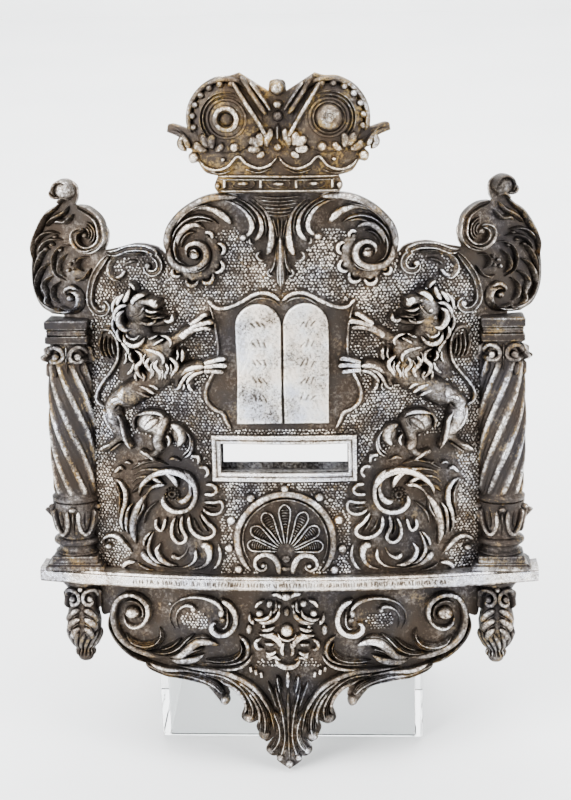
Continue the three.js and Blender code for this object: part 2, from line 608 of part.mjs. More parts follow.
// The crown: two swelling lobes, crossing straps, leaves, balls and a jewelled band
function crown() {
  const { ground, lobeX, lobeZ, lobeRing, rim } = CROWN;
  const body = band(SOLDER_GAP, ground, 300, 362, 8).intersect(prism(crownOutline()));
  const lobes = new Relief(ground);
  lobes.beads(lobeX, lobeZ, rim - 2, 3, rim - 1.4, 8);
  const onLobes = new Relief(ground + 1.6);
  onLobes.pair(arc(lobeX, lobeZ, lobeRing, 100, -60, 5), 1.3, 2.2, BAND);
  onLobes.beads(lobeX, lobeZ, 6, 4.6, 6, 6);
  const low = new Relief(ground);
  for (let i = 0; i < 4; i += 1) {
    const turn = radians(80 - 27 * i);
    low.beads(lobeX + 15.8 * Math.cos(turn), lobeZ + 15.8 * Math.sin(turn), 2, 3.8, 2, 4);
  }
  for (const [shift, top] of [[-3, 356.6], [2.6, 357.6]]) {
    low.pair([[18.6 + shift, top], [10 + shift, 340], [3.6 + shift * 0.6, 326]], 2.4, 5.4, BAND);
  }
  low.bead(0, 351.6, 4, 4.4);
  low.bead(0, 343.4, 2.8, 4);
  low.beads(21.4, 323.8, 2.6, 4.6);
  low.beads(40.4, 319, 2.8, 3);
  low.pair([[2, 323.6], [8.4, 326], [14.4, 325]], 4, 4.4);
  low.pair([[39, 318], [36, 324], [34.6, 330]], 4.2, 4.6);
  low.line([[0, 325], [0, 330], [0, 336]], 3, 4.6);
  for (const [middle, half, dip] of [[9.6, 9.4, 313.4], [28.4, 9.2, 312.2]]) {
    low.pair(through([[middle - half, 319.4], [middle, dip], [middle + half, 319.4]], 3), 1.5, 3.4, BAND);
  }
  low.line(through([[-30, 308.6], [0, 310.8], [30, 308.6]], 3), 1.7, 3.6, BAND);
  low.line(through([[-29.6, 302.8], [0, 303.8], [29.6, 302.8]], 3), 1.7, 3.6, BAND);
  for (const x of [-16, 0, 16]) low.bead(x, 306.4, 5, 2.4, 1.6, 4);
  return [lobes, onLobes, low].reduce((whole, next) => next.joinedTo(whole), body);
}

// The clear box: a top and four walls, open underneath
function clearStand() {
  const half = STAND.width / 2;
  const outer = box(-half, half, 0, STAND.depth, 0, STAND.height);
  const hollow = box(-half + STAND.wall, half - STAND.wall, STAND.wall, STAND.depth - STAND.wall,
    -10, STAND.height - STAND.wall);
  return outer.subtract(hollow);
}

const FINISH = {
  oxidisedSilver: { color: 0x6f6a64, roughness: 0.42, metalness: 1 },
  brightSilver: { color: 0xcac7c0, roughness: 0.28, metalness: 1 },
  darkSilver: { color: 0x4b4744, roughness: 0.55, metalness: 1 },
  clearAcrylic: { color: 0xeef2f5, roughness: 0.05, metalness: 0, transparent: true, opacity: 0.3 },
};

function piece(name, body, finish) {
  const mesh = new THREE.Mesh(toGeometry(body), new THREE.MeshStandardMaterial(FINISH[finish]));
  mesh.name = name;
  return mesh;
}

const shield = new THREE.Group();
shield.add(piece('shield_plate', shieldPlate(), 'oxidisedSilver'));
shield.add(piece('crown', crown(), 'oxidisedSilver'));
shield.add(piece('ledge', ledge(), 'brightSilver'));
shield.add(piece('tablets', tablets(), 'brightSilver'));
shield.add(piece('window_frame', windowFrame(), 'brightSilver'));
shield.add(piece('plaque_channel', plaqueChannel(), 'darkSilver'));
for (const [name, side] of [['left', -1], ['right', 1]]) {
  shield.add(piece(`column_${name}`, column(side), 'oxidisedSilver'));
  shield.add(piece(`pendant_${name}`, pendant(side), 'oxidisedSilver'));
}
shield.rotation.x = -lean;

// The stand's front stands where its top edge meets the back of the leaning plate
const stand = piece('clear_stand', clearStand(), 'clearAcrylic');
const backAtCorner = (faceDepth(STAND.width / 2) + SHEET + SOLDER_GAP) / Math.cos(lean);
stand.position.y = STAND.height * Math.tan(lean) + backAtCorner;

const assembly = new THREE.Group();
assembly.add(shield, stand);
assembly.updateMatrixWorld(true);
const tip = new THREE.Box3().setFromObject(shield, true);
shield.position.z = -tip.min.z;
assembly.updateMatrixWorld(true);
const whole = new THREE.Box3().setFromObject(assembly, true);
assembly.position.y = -(whole.min.y + whole.max.y) / 2;

const part = new THREE.Group();
part.add(assembly);
export default part;
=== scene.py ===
# %% [markdown]
# # A torah shield of chased silver on a clear stand
#
# This lesson dresses a finished CAD model in Blender. The CAD model gives the size, the outline and
# the place of every piece. Here each piece gets the carving that a silversmith chased and cast:
# scrolls, leaves, lions, a crown, and a ground of tiny punched pebbles.
#
# Everything is drawn flat first, in millimetres: x to the right, z up from the tip of the shield,
# and h, the height of the relief above the face of the plate. One function then bends the drawing
# round the plate, leans it back and turns it into metres. That is how a silversmith works too: the
# sheet is chased flat and bent to its curve afterwards.

import json
import math

import bpy
import numpy as np
from mathutils import Matrix, Vector
from mathutils.geometry import delaunay_2d_cdt

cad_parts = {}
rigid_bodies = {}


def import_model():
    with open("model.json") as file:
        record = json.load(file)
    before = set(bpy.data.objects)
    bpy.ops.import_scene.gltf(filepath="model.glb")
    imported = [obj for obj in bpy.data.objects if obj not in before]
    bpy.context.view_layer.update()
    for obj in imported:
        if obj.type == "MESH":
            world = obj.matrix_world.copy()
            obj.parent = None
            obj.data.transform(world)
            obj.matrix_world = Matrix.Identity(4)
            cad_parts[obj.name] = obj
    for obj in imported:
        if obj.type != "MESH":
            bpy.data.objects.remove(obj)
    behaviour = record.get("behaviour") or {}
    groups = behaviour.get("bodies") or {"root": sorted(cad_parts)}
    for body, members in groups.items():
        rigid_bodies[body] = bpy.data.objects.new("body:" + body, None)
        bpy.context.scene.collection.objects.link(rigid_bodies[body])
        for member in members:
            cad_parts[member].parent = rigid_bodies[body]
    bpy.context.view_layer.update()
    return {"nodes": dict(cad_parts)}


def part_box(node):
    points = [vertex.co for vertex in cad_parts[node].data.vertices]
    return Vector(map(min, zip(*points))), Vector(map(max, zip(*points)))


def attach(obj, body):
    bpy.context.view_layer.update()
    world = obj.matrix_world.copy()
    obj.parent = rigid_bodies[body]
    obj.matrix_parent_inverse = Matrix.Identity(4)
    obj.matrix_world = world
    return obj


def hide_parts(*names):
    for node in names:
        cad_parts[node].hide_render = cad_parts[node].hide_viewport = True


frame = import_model()

# %% [markdown]
# ## From the flat drawing to the room
#
# The plate is a strip of a cylinder with a radius of 300 mm, and it leans back ten degrees on its
# tip. The tip stands a known way in front of the clear box, whose place the frame tells us. So no
# place is typed in twice: if the CAD model moves, the relief moves with it.

# %% Bend, lean and place
BEND_RADIUS = 300.0
SHEET = 2.4
LEAN = math.radians(10)
TIP_AHEAD = 32.011
BURY = 0.8

stand_low, stand_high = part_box("clear_stand")
TIP_Y = stand_low.y * 1000 - TIP_AHEAD
TIP_Z = SHEET * math.sin(LEAN)


def bend(flat):
    """Bends points (x, z, h) round the plate and gives upright points (x, y, z)."""
    x, z, h = flat[:, 0], flat[:, 1], flat[:, 2]
    reach = BEND_RADIUS + h
    back = BEND_RADIUS - reach * np.sqrt(1 - (x / BEND_RADIUS) ** 2)
    return np.column_stack([reach * x / BEND_RADIUS, back, z])


def lean_back(upright):
    """Leans upright millimetres back on the tip and gives metres in the room."""
    x, y, z = upright[:, 0], upright[:, 1], upright[:, 2]
    room_y = y * math.cos(LEAN) + z * math.sin(LEAN) + TIP_Y
    room_z = z * math.cos(LEAN) - y * math.sin(LEAN) + TIP_Z
    return np.column_stack([x, room_y, room_z]) * 0.001


def face_depth(x):
    """How far the face of the plate lies behind its middle."""
    return BEND_RADIUS - math.sqrt(BEND_RADIUS ** 2 - x * x)


print("tip of the shield at y, z in mm:", round(TIP_Y, 2), round(TIP_Z, 2))

# %% [markdown]
# ## Silver that is bright on its crests and dark in its hollows
#
# Old silver is rarely one colour. The maker blackens all of it with sulphur and polishes the high
# parts again, and then hands rub those parts for a century. The eye reads the relief mostly from
# that contrast, and from the shade in the hollows and the light on the crests. The shade could be
# found with ambient occlusion, but an exported model would lose it. So every mesh carries its own
# number per point, "shine": 0 in a hollow, 1 on a rubbed crest. It stands partly for the real
# blackening and rubbing, and partly for painted shade in the hollows and a painted highlight on
# the crests.
#
# The material mixes three metals by that number: black-brown sulphide, grey silver, bright silver.
# The dark end also carries the painted shade, and the bright end the painted highlight.
# Worn gilding shows as a yellow-brown glow between the dark and the bright, in patches. All noise
# is read from object coordinates, which are metres here, so a scale of 400 is a 2.5 mm pattern.

# %% Colours and nodes
def hex_colour(code):
    """An sRGB hex code as linear red, green, blue and alpha."""
    channels = [int(code[i:i + 2], 16) / 255 for i in (1, 3, 5)]
    return [c / 12.92 if c < 0.04045 else ((c + 0.055) / 1.055) ** 2.4 for c in channels] + [1.0]


def per_mm(size):
    """The noise scale that gives a pattern of this size in millimetres."""
    return 1000.0 / size


def new_material(name):
    """An empty node material and its node tree."""
    material = bpy.data.materials.new(name)
    material.use_nodes = True
    material.node_tree.nodes.clear()
    return material, material.node_tree


def node(tree, kind, inputs=None, stops=(), **settings):
    """Adds a node, sets its properties and colour stops, and fills its inputs with values or links."""
    made = tree.nodes.new(kind)
    for key, value in settings.items():
        setattr(made, key, value)
    for key, value in (inputs or {}).items():
        if isinstance(value, bpy.types.NodeSocket):
            tree.links.new(value, made.inputs[key])
        else:
            made.inputs[key].default_value = value
    if stops:
        elements = made.color_ramp.elements
        elements.remove(elements[1])
        elements[0].position, elements[0].color = stops[0]
        for place, colour in stops[1:]:
            elements.new(place).color = colour
    return made


# %% The chased silver
BLACK, WHITE = (0, 0, 0, 1), (1, 1, 1, 1)


def chased_silver(name, deep, dark, middle, bright, gilt, gilding, rub=0.0, dark_rough=0.5, bright_rough=0.26):
    """Blackened silver, polished again on its crests, with gilding left in patches; its dark hollows are partly
    painted shade and its bright crests partly a painted highlight.
    """
    material, tree = new_material(name)
    place = node(tree, "ShaderNodeTexCoord").outputs["Object"]
    shine, calm = (node(tree, "ShaderNodeAttribute", attribute_name=label).outputs["Fac"]
                   for label in ("shine", "calm"))
    # Every pattern is a noise with a real size in millimetres, a detail and a roughness
    patches, specks, dots, leaf, film, scratches = (
        node(tree, "ShaderNodeTexNoise", {"Vector": place, "Scale": per_mm(size), "Detail": detail,
                                          "Roughness": rough}).outputs["Fac"]
        for size, detail, rough in ((16, 3, 0.6), (1.6, 4, 0.7), (0.85, 1, 0.4), (9, 5, 0.7), (28, 4, 0.65),
                                    (1.1, 5, 0.75)))
    # Patches and specks push the wear up and down, so no crest is evenly bright
    pushed = node(tree, "ShaderNodeMath", {0: patches, 1: 1.5, 2: -0.75}, operation="MULTIPLY_ADD").outputs[0]
    fine = node(tree, "ShaderNodeMath", {0: specks, 1: 1.8, 2: -0.9}, operation="MULTIPLY_ADD").outputs[0]
    # Pits are small dark dots, crowded in some places and missing in others
    crowd = node(tree, "ShaderNodeMath", {0: patches, 1: 0.5, 2: dots}, operation="MULTIPLY_ADD").outputs[0]
    pits = node(tree, "ShaderNodeValToRGB", {"Fac": crowd}, [(0.58, WHITE), (0.64, BLACK)]).outputs["Color"]
    fine = node(tree, "ShaderNodeMath", {0: pits, 1: -0.4, 2: fine}, operation="MULTIPLY_ADD").outputs[0]
    uneven = node(tree, "ShaderNodeMath", {0: pushed, 1: fine}, operation="ADD").outputs[0]
    # The back was never chased, so its wear is nearly even
    lively = node(tree, "ShaderNodeMath", {0: calm, 1: -0.8, 2: 1.0}, operation="MULTIPLY_ADD").outputs[0]
    uneven = node(tree, "ShaderNodeMath", {0: uneven, 1: lively, 2: rub}, operation="MULTIPLY_ADD").outputs[0]
    # Shine and noise give the wear and blackening, and also the painted shade of the hollows and the painted highlight
    # of the crests
    worn_and_shaded = node(tree, "ShaderNodeMath", {0: shine, 1: 0.84, 2: uneven}, operation="MULTIPLY_ADD",
                use_clamp=True).outputs[0]
    silver = node(tree, "ShaderNodeValToRGB", {"Fac": worn_and_shaded}, [
        (0, hex_colour(deep)), (0.2, hex_colour(dark)), (0.54, hex_colour(middle)),
        (0.86, hex_colour(bright))]).outputs["Color"]
    # Gilding survives where the wear is low but not lowest
    band = node(tree, "ShaderNodeValToRGB", {"Fac": worn_and_shaded}, [
        (0.08, BLACK), (0.26, WHITE), (0.44, WHITE), (0.6, BLACK)]).outputs["Color"]
    left = node(tree, "ShaderNodeValToRGB", {"Fac": leaf}, [
        (0.62 - gilding, BLACK), (0.74 - gilding, WHITE)]).outputs["Color"]
    share = node(tree, "ShaderNodeMath", {0: band, 1: left}, operation="MULTIPLY").outputs[0]
    share = node(tree, "ShaderNodeMath", {0: share, 1: lively}, operation="MULTIPLY").outputs[0]
    colour = node(tree, "ShaderNodeMix", {0: share, 6: silver, 7: hex_colour(gilt)}, data_type="RGBA").outputs[2]
    # Tarnish leans to brown in some places and to slate blue in others
    tint = node(tree, "ShaderNodeValToRGB", {"Fac": film}, [
        (0.4, hex_colour("#fff3e6")), (0.5, hex_colour("#fdfbf8")), (0.62, hex_colour("#dfe4f2"))]).outputs["Color"]
    colour = node(tree, "ShaderNodeMix", {0: 1.0, 6: colour, 7: tint}, data_type="RGBA",
                  blend_type="MULTIPLY").outputs[2]
    rough = node(tree, "ShaderNodeMapRange", {
        "Value": worn_and_shaded, "From Min": 0.2, "From Max": 0.9, "To Min": dark_rough, "To Max": bright_rough}).outputs[0]
    bump = node(tree, "ShaderNodeBump", {"Strength": 0.6, "Distance": 0.0005, "Height": scratches}).outputs[0]
    shader = node(tree, "ShaderNodeBsdfPrincipled", {
        "Base Color": colour, "Metallic": 1.0, "Roughness": rough, "Normal": bump}).outputs[0]
    node(tree, "ShaderNodeOutputMaterial", {"Surface": shader})
    return material


relief_silver = chased_silver(
    "silver chased blackened and rubbed", "#3b3632", "#565049", "#7f7974", "#f6f4f1", "#97805a", 0.1)
ground_silver = chased_silver(
    "silver punched ground blackened", "#3a3531", "#4f4944", "#746e69", "#e2ded8", "#7d6b4e", 0.05)
print("materials so far:", [m.name for m in bpy.data.materials if "silver" in m.name])

# %% [markdown]
# ## Strokes: the chaser's punch as a function
#
# A chaser raises each scroll as one long stroke with its own cross-section. A round section is a
# plain bead, a crested one is a leaf, a channel has two bright rims and a dark floor, and a lip is
# high on one side only. Curves with a bevel could sweep such sections, but their ends and their
# changing height are hard to steer. A small sweep function is clearer: it walks along a path,
# lays the section across it, and shrinks it at both ends. Each stroke closes underneath, a little
# below the face of the plate, so it is a solid that grows out of the sheet.
#
# Paths are written as in an SVG polyline, "x,z x,z" in millimetres, with only the points that the
# curve has to pass. A row of a table of strokes is its path, half width, height, tool and glow.

# %% Paths
def even(curve, spacing):
    """The same curve with evenly spaced points."""
    gaps = np.linalg.norm(np.diff(curve, axis=0), axis=1)
    along = np.concatenate([[0], np.cumsum(gaps)])
    stops = np.linspace(0, along[-1], max(8, int(along[-1] / spacing)) + 1)
    return np.column_stack([np.interp(stops, along, curve[:, axis]) for axis in (0, 1)])


def as_points(path):
    """The points of a path as rows of numbers; a text holds "x,z x,z", as an SVG polyline does."""
    if isinstance(path, str):
        path = [pair.split(",") for pair in path.split()]
    return np.array(path, float)


def through(path, spacing=0.8):
    """A smooth curve through all points of a path."""
    p = as_points(path)
    p = np.vstack([2 * p[0] - p[1], p, 2 * p[-1] - p[-2]])
    t = np.linspace(0, 1, 14, endpoint=False)[:, None]
    runs = [0.5 * (2 * b + (c - a) * t + (2 * a - 5 * b + 4 * c - d) * t ** 2
                   + (3 * b - a - 3 * c + d) * t ** 3)
            for a, b, c, d in zip(p[:-3], p[1:-2], p[2:-1], p[3:])]
    return even(np.vstack(runs + [p[-2:-1]]), spacing)


def volute(centre, radii, start, turn=90, after=(), spacing=0.7):
    """A scroll: its radius at every quarter turn, then further points that it runs on through."""
    quarter = np.arange(len(radii))
    fine = np.linspace(0, quarter[-1], 10 * quarter[-1] + 1)
    radius = np.interp(fine, quarter, radii)
    angle = np.radians(start + turn * fine)
    round_part = np.column_stack([centre[0] + radius * np.cos(angle), centre[1] + radius * np.sin(angle)])
    if not len(after):
        return even(round_part, spacing)
    tail = through(np.vstack([round_part[-1:], as_points(after)]))
    return even(np.vstack([round_part, tail[1:]]), spacing)


def arc(x, z, radius, start, end, spacing=0.8):
    """Part of a circle."""
    angle = np.radians(np.linspace(start, end, 40))
    return even(np.column_stack([x + radius * np.cos(angle), z + radius * np.sin(angle)]), spacing)


def pointing(turn):
    """The direction at this many degrees from the right, counted upwards."""
    return np.array([math.cos(math.radians(turn)), math.sin(math.radians(turn))])


# %% Cross-sections, ends and tools
def section(*left):
    """A cross-section from its left half: place across (-1 to 0), height and shine (0 to 1)."""
    left = np.array(left, float)
    return np.vstack([left, left[::-1] * [-1, 1, 1]]).T


# The shine of each section is high on its crest and low on its flanks and in a channel's floor: partly rubbing and
# blackening, partly a painted highlight and painted shade
ROUND = section((-1, 0, 0), (-.93, .36, .02), (-.78, .62, .12), (-.5, .87, .6), (-.2, .98, 1))
BULB = section((-1, 0, 0), (-.96, .42, .05), (-.84, .7, .22), (-.62, .88, .7), (-.25, 1, 1))
CREST = section((-1, 0, 0), (-.86, .3, .04), (-.6, .52, .2), (-.3, .76, .5), (-.08, .98, 1))
CHANNEL = section((-1, 0, 0), (-.97, .55, .15), (-.86, .95, 1), (-.68, .96, 1), (-.5, .7, .15), (-.2, .55, .1))
FLUTED = section((-1, 0, 0), (-.92, .5, .2), (-.76, .72, .9), (-.58, .58, .1), (-.42, .9, .9), (-.26, .74, .15),
                 (-.08, 1, 1))
# The lip is the only section with two different halves
LIP = np.array([(-1, 0, 0), (-.9, .2, 0), (-.6, .3, .05), (-.2, .42, .15), (.2, .62, .4), (.5, .9, 1), (.74, 1, 1),
                (.9, .72, .3), (1, 0, 0)]).T


def leaf_ends(t):
    """Thin at both ends, full in the middle."""
    return np.sin(np.pi * t) ** 0.6


def band_ends(t):
    """Full almost everywhere, rounded off at both ends."""
    return np.minimum(1, np.minimum(9 * t, 9 * (1 - t))) ** 0.5


def no_ends(t):
    """Full everywhere, for rings that run into themselves."""
    return np.ones_like(t)


def bud_ends(t):
    """Thin at its start, swelling to a round tip at its end."""
    return (0.12 + 0.88 * t ** 1.2) * np.minimum(1, 5 * (1 - t)) ** 0.5 * np.minimum(1, 10 * t) ** 0.5


def root_ends(t):
    """Full at its start, running out thin at its end."""
    return bud_ends(1 - t)


# A tool is a cross-section with the way its ends run out
WIRE, RING, HOOP = (ROUND, leaf_ends), (ROUND, band_ends), (ROUND, no_ends)
LEAF, BAND, BUD, ROOT, BULB_HOOP = ((BULB, ends) for ends in (leaf_ends, band_ends, bud_ends, root_ends, no_ends))
CREASE, CREASE_BUD, CREASE_ROOT = ((CREST, ends) for ends in (leaf_ends, bud_ends, root_ends))
FROND, FROND_BAND = (FLUTED, leaf_ends), (FLUTED, band_ends)
GUTTER, HEM = (CHANNEL, band_ends), (LIP, band_ends)
print("sections:", [len(s[0]) for s in (ROUND, BULB, CREST, CHANNEL, LIP, FLUTED)], "points each")

# %% Collect strokes and beads
FINIAL_X, FINIAL_Z, FINIAL_DULL = 92, 246, 0.42


class Relief:
    """The strokes and beads of one piece, as flat points, faces, and shine per point."""

    def __init__(self, base=0.0, mirrored=True):
        self.base, self.mirrored = base, mirrored
        self.points, self.faces, self.shine, self.count = [], [], [], 0

    def add(self, points, faces, shine, both=True):
        """Adds a closed shell and, where both is set, its mirror image on the left half."""
        for side in ((1, -1) if both and self.mirrored else (1,)):
            shift = self.count
            self.points.append(points * [side, 1, 1])
            self.faces += [[i + shift for i in (face if side > 0 else face[::-1])] for face in faces]
            self.shine.append(shine)
            self.count += len(points)

    def stroke(self, path, width, height, tool=WIRE, glow=1, both=True, lift=0.0):
        """One chased stroke: a tool swept along a path. Two glows are those of its start and end."""
        cut, ends = tool
        if not isinstance(path, np.ndarray):
            path = through(path)
        t = np.linspace(0, 1, len(path))
        size = np.maximum(ends(t), 0.03)
        step = np.gradient(path, axis=0)
        step /= np.linalg.norm(step, axis=1)[:, None]
        across, up, bright = cut
        reach = (width * size)[:, None] * across[None, :]
        x = path[:, :1] - step[:, 1:] * reach
        z = path[:, 1:] + step[:, :1] * reach
        rise = (np.minimum(1, 1.35 * size) * height)[:, None] * up[None, :]
        h = self.base + rise + (lift(x, z) if callable(lift) else lift)
        foot = np.full((len(path), 1), self.base - BURY)
        ring = len(across) + 2
        x = np.hstack([x[:, :1], x, x[:, -1:]])
        z = np.hstack([z[:, :1], z, z[:, -1:]])
        h = np.hstack([foot, h, foot])
        # The section's shine, dimmed where the stroke runs thin, makes its crest bright and its flanks dark: partly
        # wear and blackening, partly painted highlight and painted shade
        fade = np.linspace(*np.broadcast_to(glow, 2), len(path))[:, None]
        shine = np.hstack([foot * 0, bright[None, :] * fade * np.minimum(1, 1.6 * size)[:, None], foot * 0])
        points = np.column_stack([x.ravel(), z.ravel(), h.ravel()])
        rows = len(path)
        faces = [[r * ring + k, (r + 1) * ring + k, (r + 1) * ring + (k + 1) % ring, r * ring + (k + 1) % ring]
                 for r in range(rows - 1) for k in range(ring)]
        faces.append(list(range(ring)))
        faces.append([(rows - 1) * ring + k for k in reversed(range(ring))])
        self.add(points, faces, shine.ravel(), both)

    def strokes(self, *rows, **settings):
        """Many strokes, each a row of path, width, height, tool and glow."""
        for row in rows:
            self.stroke(*row, **settings)

    def bead(self, x, z, radius, height=None, tall=None, both=True, glow=1.0, lift=0.0, rings=4, sides=14):
        """A round or oval boss."""
        lift = float(lift(np.array(x), np.array(z))) if callable(lift) else lift
        height = radius if height is None else height
        tall = radius if tall is None else tall
        # Each boss is bright on top and dark round its foot: partly rubbing and blackening, partly a painted highlight
        # and painted shade
        points, shine = [], []
        for r in range(rings + 1):
            tilt = math.pi / 2 * r / (rings + 0.35)
            for s in range(sides):
                turn = 2 * math.pi * s / sides
                points.append([x + radius * math.cos(tilt) * math.cos(turn),
                               z + tall * math.cos(tilt) * math.sin(turn),
                               self.base + lift + height * math.sin(tilt)])
                shine.append(glow * math.sin(tilt) ** 1.5)
        points += [[x0, z0, self.base - BURY] for x0, z0, _ in points[:sides]]
        shine += [0] * sides
        foot = (rings + 1) * sides
        faces = [[r * sides + s, r * sides + (s + 1) % sides, (r + 1) * sides + (s + 1) % sides,
                  (r + 1) * sides + s] for r in range(rings) for s in range(sides)]
        faces += [[foot + s, foot + (s + 1) % sides, (s + 1) % sides, s] for s in range(sides)]
        faces.append([rings * sides + s for s in range(sides)])
        faces.append([foot + s for s in reversed(range(sides))])
        self.add(np.array(points), faces, np.array(shine), both)

    def whole(self):
        """All points, faces and shine; the finials, out of the cloth's reach, were rubbed less."""
        flat, shine = np.vstack(self.points), np.concatenate(self.shine)
        far = np.clip((np.abs(flat[:, 0]) - FINIAL_X) / 6, 0, 1) * np.clip((flat[:, 1] - FINIAL_Z) / 8, 0, 1)
        return flat, self.faces, shine * (1 - FINIAL_DULL * far)


# %% Bend a relief, make it a mesh and dress the piece
def drift(flat):
    """Small slow shifts, different left and right, as no two hand-chased halves are alike."""
    x, z = flat[:, 0], flat[:, 1]
    out = flat.copy()
    out[:, 0] += 0.28 * np.sin(z * 0.11 + 0.05 * x + 1.3) * np.sin(x * 0.07 + 0.4)
    out[:, 1] += 0.28 * np.sin(x * 0.09 + 0.6) * np.cos(z * 0.13 + 0.2)
    return out


SHARP_CHASED, SHARP_CAST = 48, 40


def read_points(mesh, what):
    """The places or the normals of all points of a mesh, as rows of three."""
    values = np.empty(len(mesh.vertices) * 3)
    mesh.vertices.foreach_get(what, values)
    return values.reshape(-1, 3)


def make_mesh(name, room_points, faces, shine, sharp=SHARP_CHASED):
    """A mesh with the shine and calm of every point, smooth except at sharp edges."""
    mesh = bpy.data.meshes.new(name)
    mesh.from_pydata([tuple(p) for p in room_points], [], faces)
    calm = np.clip(2 * read_points(mesh, "normal")[:, 1] - 0.6, 0, 1).astype(np.float32)
    for label, values in (("shine", np.array(shine, np.float32)), ("calm", calm)):
        mesh.attributes.new(label, "FLOAT", "POINT").data.foreach_set("value", values)
    mesh.shade_smooth()
    mesh.set_sharp_from_angle(angle=math.radians(sharp))
    return mesh


def put(name, data):
    """A new object in the scene."""
    made = bpy.data.objects.new(name, data)
    bpy.context.scene.collection.objects.link(made)
    return made


def dress(name, mesh, material, slot, *nodes):
    """Puts a finished mesh in the scene as a piece that stands for CAD nodes."""
    made = put(name, mesh)
    mesh.materials.append(material)
    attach(made, "root")
    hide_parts(*nodes)
    triangles = sum(len(p.vertices) - 2 for p in mesh.polygons)
    print(f"{name}: {triangles} triangles")
    return made


chased = []


def relief_piece(name, relief, material=relief_silver, slot="oxidised_silver", node_name="shield_plate"):
    """Bends a collected relief round the plate and makes it a piece."""
    points, faces, shine = relief.whole()
    points = drift(points)
    chased.append(points[shine > 0.01])
    return dress(name, make_mesh(name, lean_back(bend(points)), faces, shine), material, slot, node_name)


print("sharp edges from", SHARP_CHASED, "degrees on chased pieces and", SHARP_CAST, "on cast ones")

# %% [markdown]
# ## The great scrolls under the crown
#
# On the real shield two broad scrolls roll outwards from the neck of the crown, and acanthus
# fingers fall from their roots. Each scroll is a volute, whose radius grows with every quarter
# turn, and it runs on into the curved shoulder of the plate. Small shell-like scallops sit round
# it, each a bright crescent over a darker hollow. The fingers swell to a round, rubbed tip.

# %% Chase the great scrolls
scrolls = Relief()
COIL_MIDDLE = (42.4, 270.6)
# The rolled rim, and the broad coil that leaves it and winds in to a ball
scrolls.strokes(
    ("19.6,299.2 28,299.5 36,298.2 43,295 49,290.4 53.8,284.4 55.9,278 56,271.6", 1.9, 4.6, BAND, (0.5, 0.45)),
    ("55,275 54.4,269 51.2,265 46.6,263.6 41.8,264 37.8,266.8 36.4,271 37.8,274.8 41.4,276.7 45.4,275.4 46.8,271.8 "
     "45.6,268.8", 2, 4.6, (BULB, lambda t: band_ends(t) * (0.75 + 0.35 * np.sin(np.pi * t) - 0.4 * t ** 3)),
     (0.5, 1)),
)
scrolls.bead(42.5, 270.6, 3, 4.6, 2.8)
scrolls.stroke("40.4,271.6 42,273.4 44.6,272.6", 0.8, 5)
for inset in (0, 1.2, 2.3):
    scrolls.stroke(arc(42.6, 271.4, 8.9 - inset, 212, 290), 0.3, 4.9 - 0.2 * inset)
scrolls.strokes(
    ("46.8,265.8 50.8,268.6 52.2,274 50.8,279.6 47.4,283", 0.55, 3.6, WIRE, 0.7),
    # Leaves that lie inside the rim
    ("37.2,283.4 41.4,285.6 46,284.2 49.8,280 51.2,274.4", 1.8, 3.6, LEAF, (0.85, 0.4)),
    ("41.4,282 45,281.4 48,278.4 49.2,274", 1.2, 3, CREASE, (0.6, 0.3)),
    ("30.2,286 34,288.8 40,289.8 46,287.8 51,282.8 54,276.4", 1.4, 4, CREASE, (1, 0.5)),
    ("33,287 38,288 43.4,286.6", 0.8, 3.4, WIRE, 0.4),
    ("23.6,286 26.4,289.4 31,292.6 37.6,294 44.6,292 50,287.4", 2.8, 4.2, ROOT, (1, 0.2)),
    ("34,295.6 41,294.2 47.4,289.8 52,283.6", 0.8, 4, WIRE, (0.4, 0.6)),
    # Scallops round the coil, over a low collar that kept its gilding
    (arc(*COIL_MIDDLE, 10.4, 118, 312), 3, 1.9, RING, 0.3),
)
for turn, ring, size in (
    (126, 11.8, 2), (166, 12.2, 2.9), (207, 12.4, 3), (241, 12.6, 3), (277, 12.4, 3), (318, 12.6, 2.2),
):
    way = pointing(turn)
    cup = np.array(COIL_MIDDLE) + ring * way
    scrolls.stroke(arc(*cup, size, turn - 112, turn + 112), 1.25, 3.2, LEAF)
    scrolls.bead(*(cup - 0.8 * way), size * 0.75, 2.1, glow=0.4)
# Four fingers of acanthus fall from the neck, each swelling to a curled tip
scrolls.stroke("33,298.4 25,297.2 18.4,294 14.6,289.4 13.4,284.8 14.8,281.6 17.4,280", 2.1, 4.6, BUD, (0.45, 1))
scrolls.bead(18.2, 279.6, 2.2, 4.6, 1.9)
scrolls.strokes(
    ("24,298.4 17,295 12.4,289.6 11.3,284.8", 0.7, 4, CREASE, (0.5, 0.8)),
    ("22,299.4 15,295.6 10.2,290.4 8.7,284.6 10,280.4 13,277.4", 2.1, 4.4, BUD, (0.4, 1)),
    ("14.6,279.4 14.8,277 13,276", 0.8, 3.8), ("15,298 8.4,291.4 6.6,284.4 7.2,279", 0.7, 4, CREASE, (0.5, 0.8)),
    ("14,299 7.4,292.6 4.6,286 4.2,279 5.4,273.2 7.6,270.4", 2.7, 4.4, BUD, (0.4, 1)),
    ("9.4,272.8 11.6,270.8 10.2,268.4 7.6,268.2", 1.1, 4.2),
    ("3.4,282 2.2,274 2.8,267 4.6,263 6,261.4", 1.8, 3.8, CREASE_BUD, (0.4, 1)),
    ("4.6,264.4 6.4,262.4 5.4,260.6 3.6,260.6", 0.9, 3.6),
)
scrolls.stroke("0,281 0,270 0,261 0,252.4", 3.4, 4.4, CREASE, both=False)
scrolls.stroke("1,268 1.4,261 0.8,255", 0.7, 4.2, glow=(0.7, 0.9))
for level, half in ((289.6, 6.6), (291.4, 7.6), (293.2, 8.8), (295, 9.8), (296.8, 10.6), (298.6, 11.4)):
    scrolls.stroke([(-half, level + 0.9), (0, level), (half, level + 0.9)], 0.65, 2.2, glow=0.45, both=False)
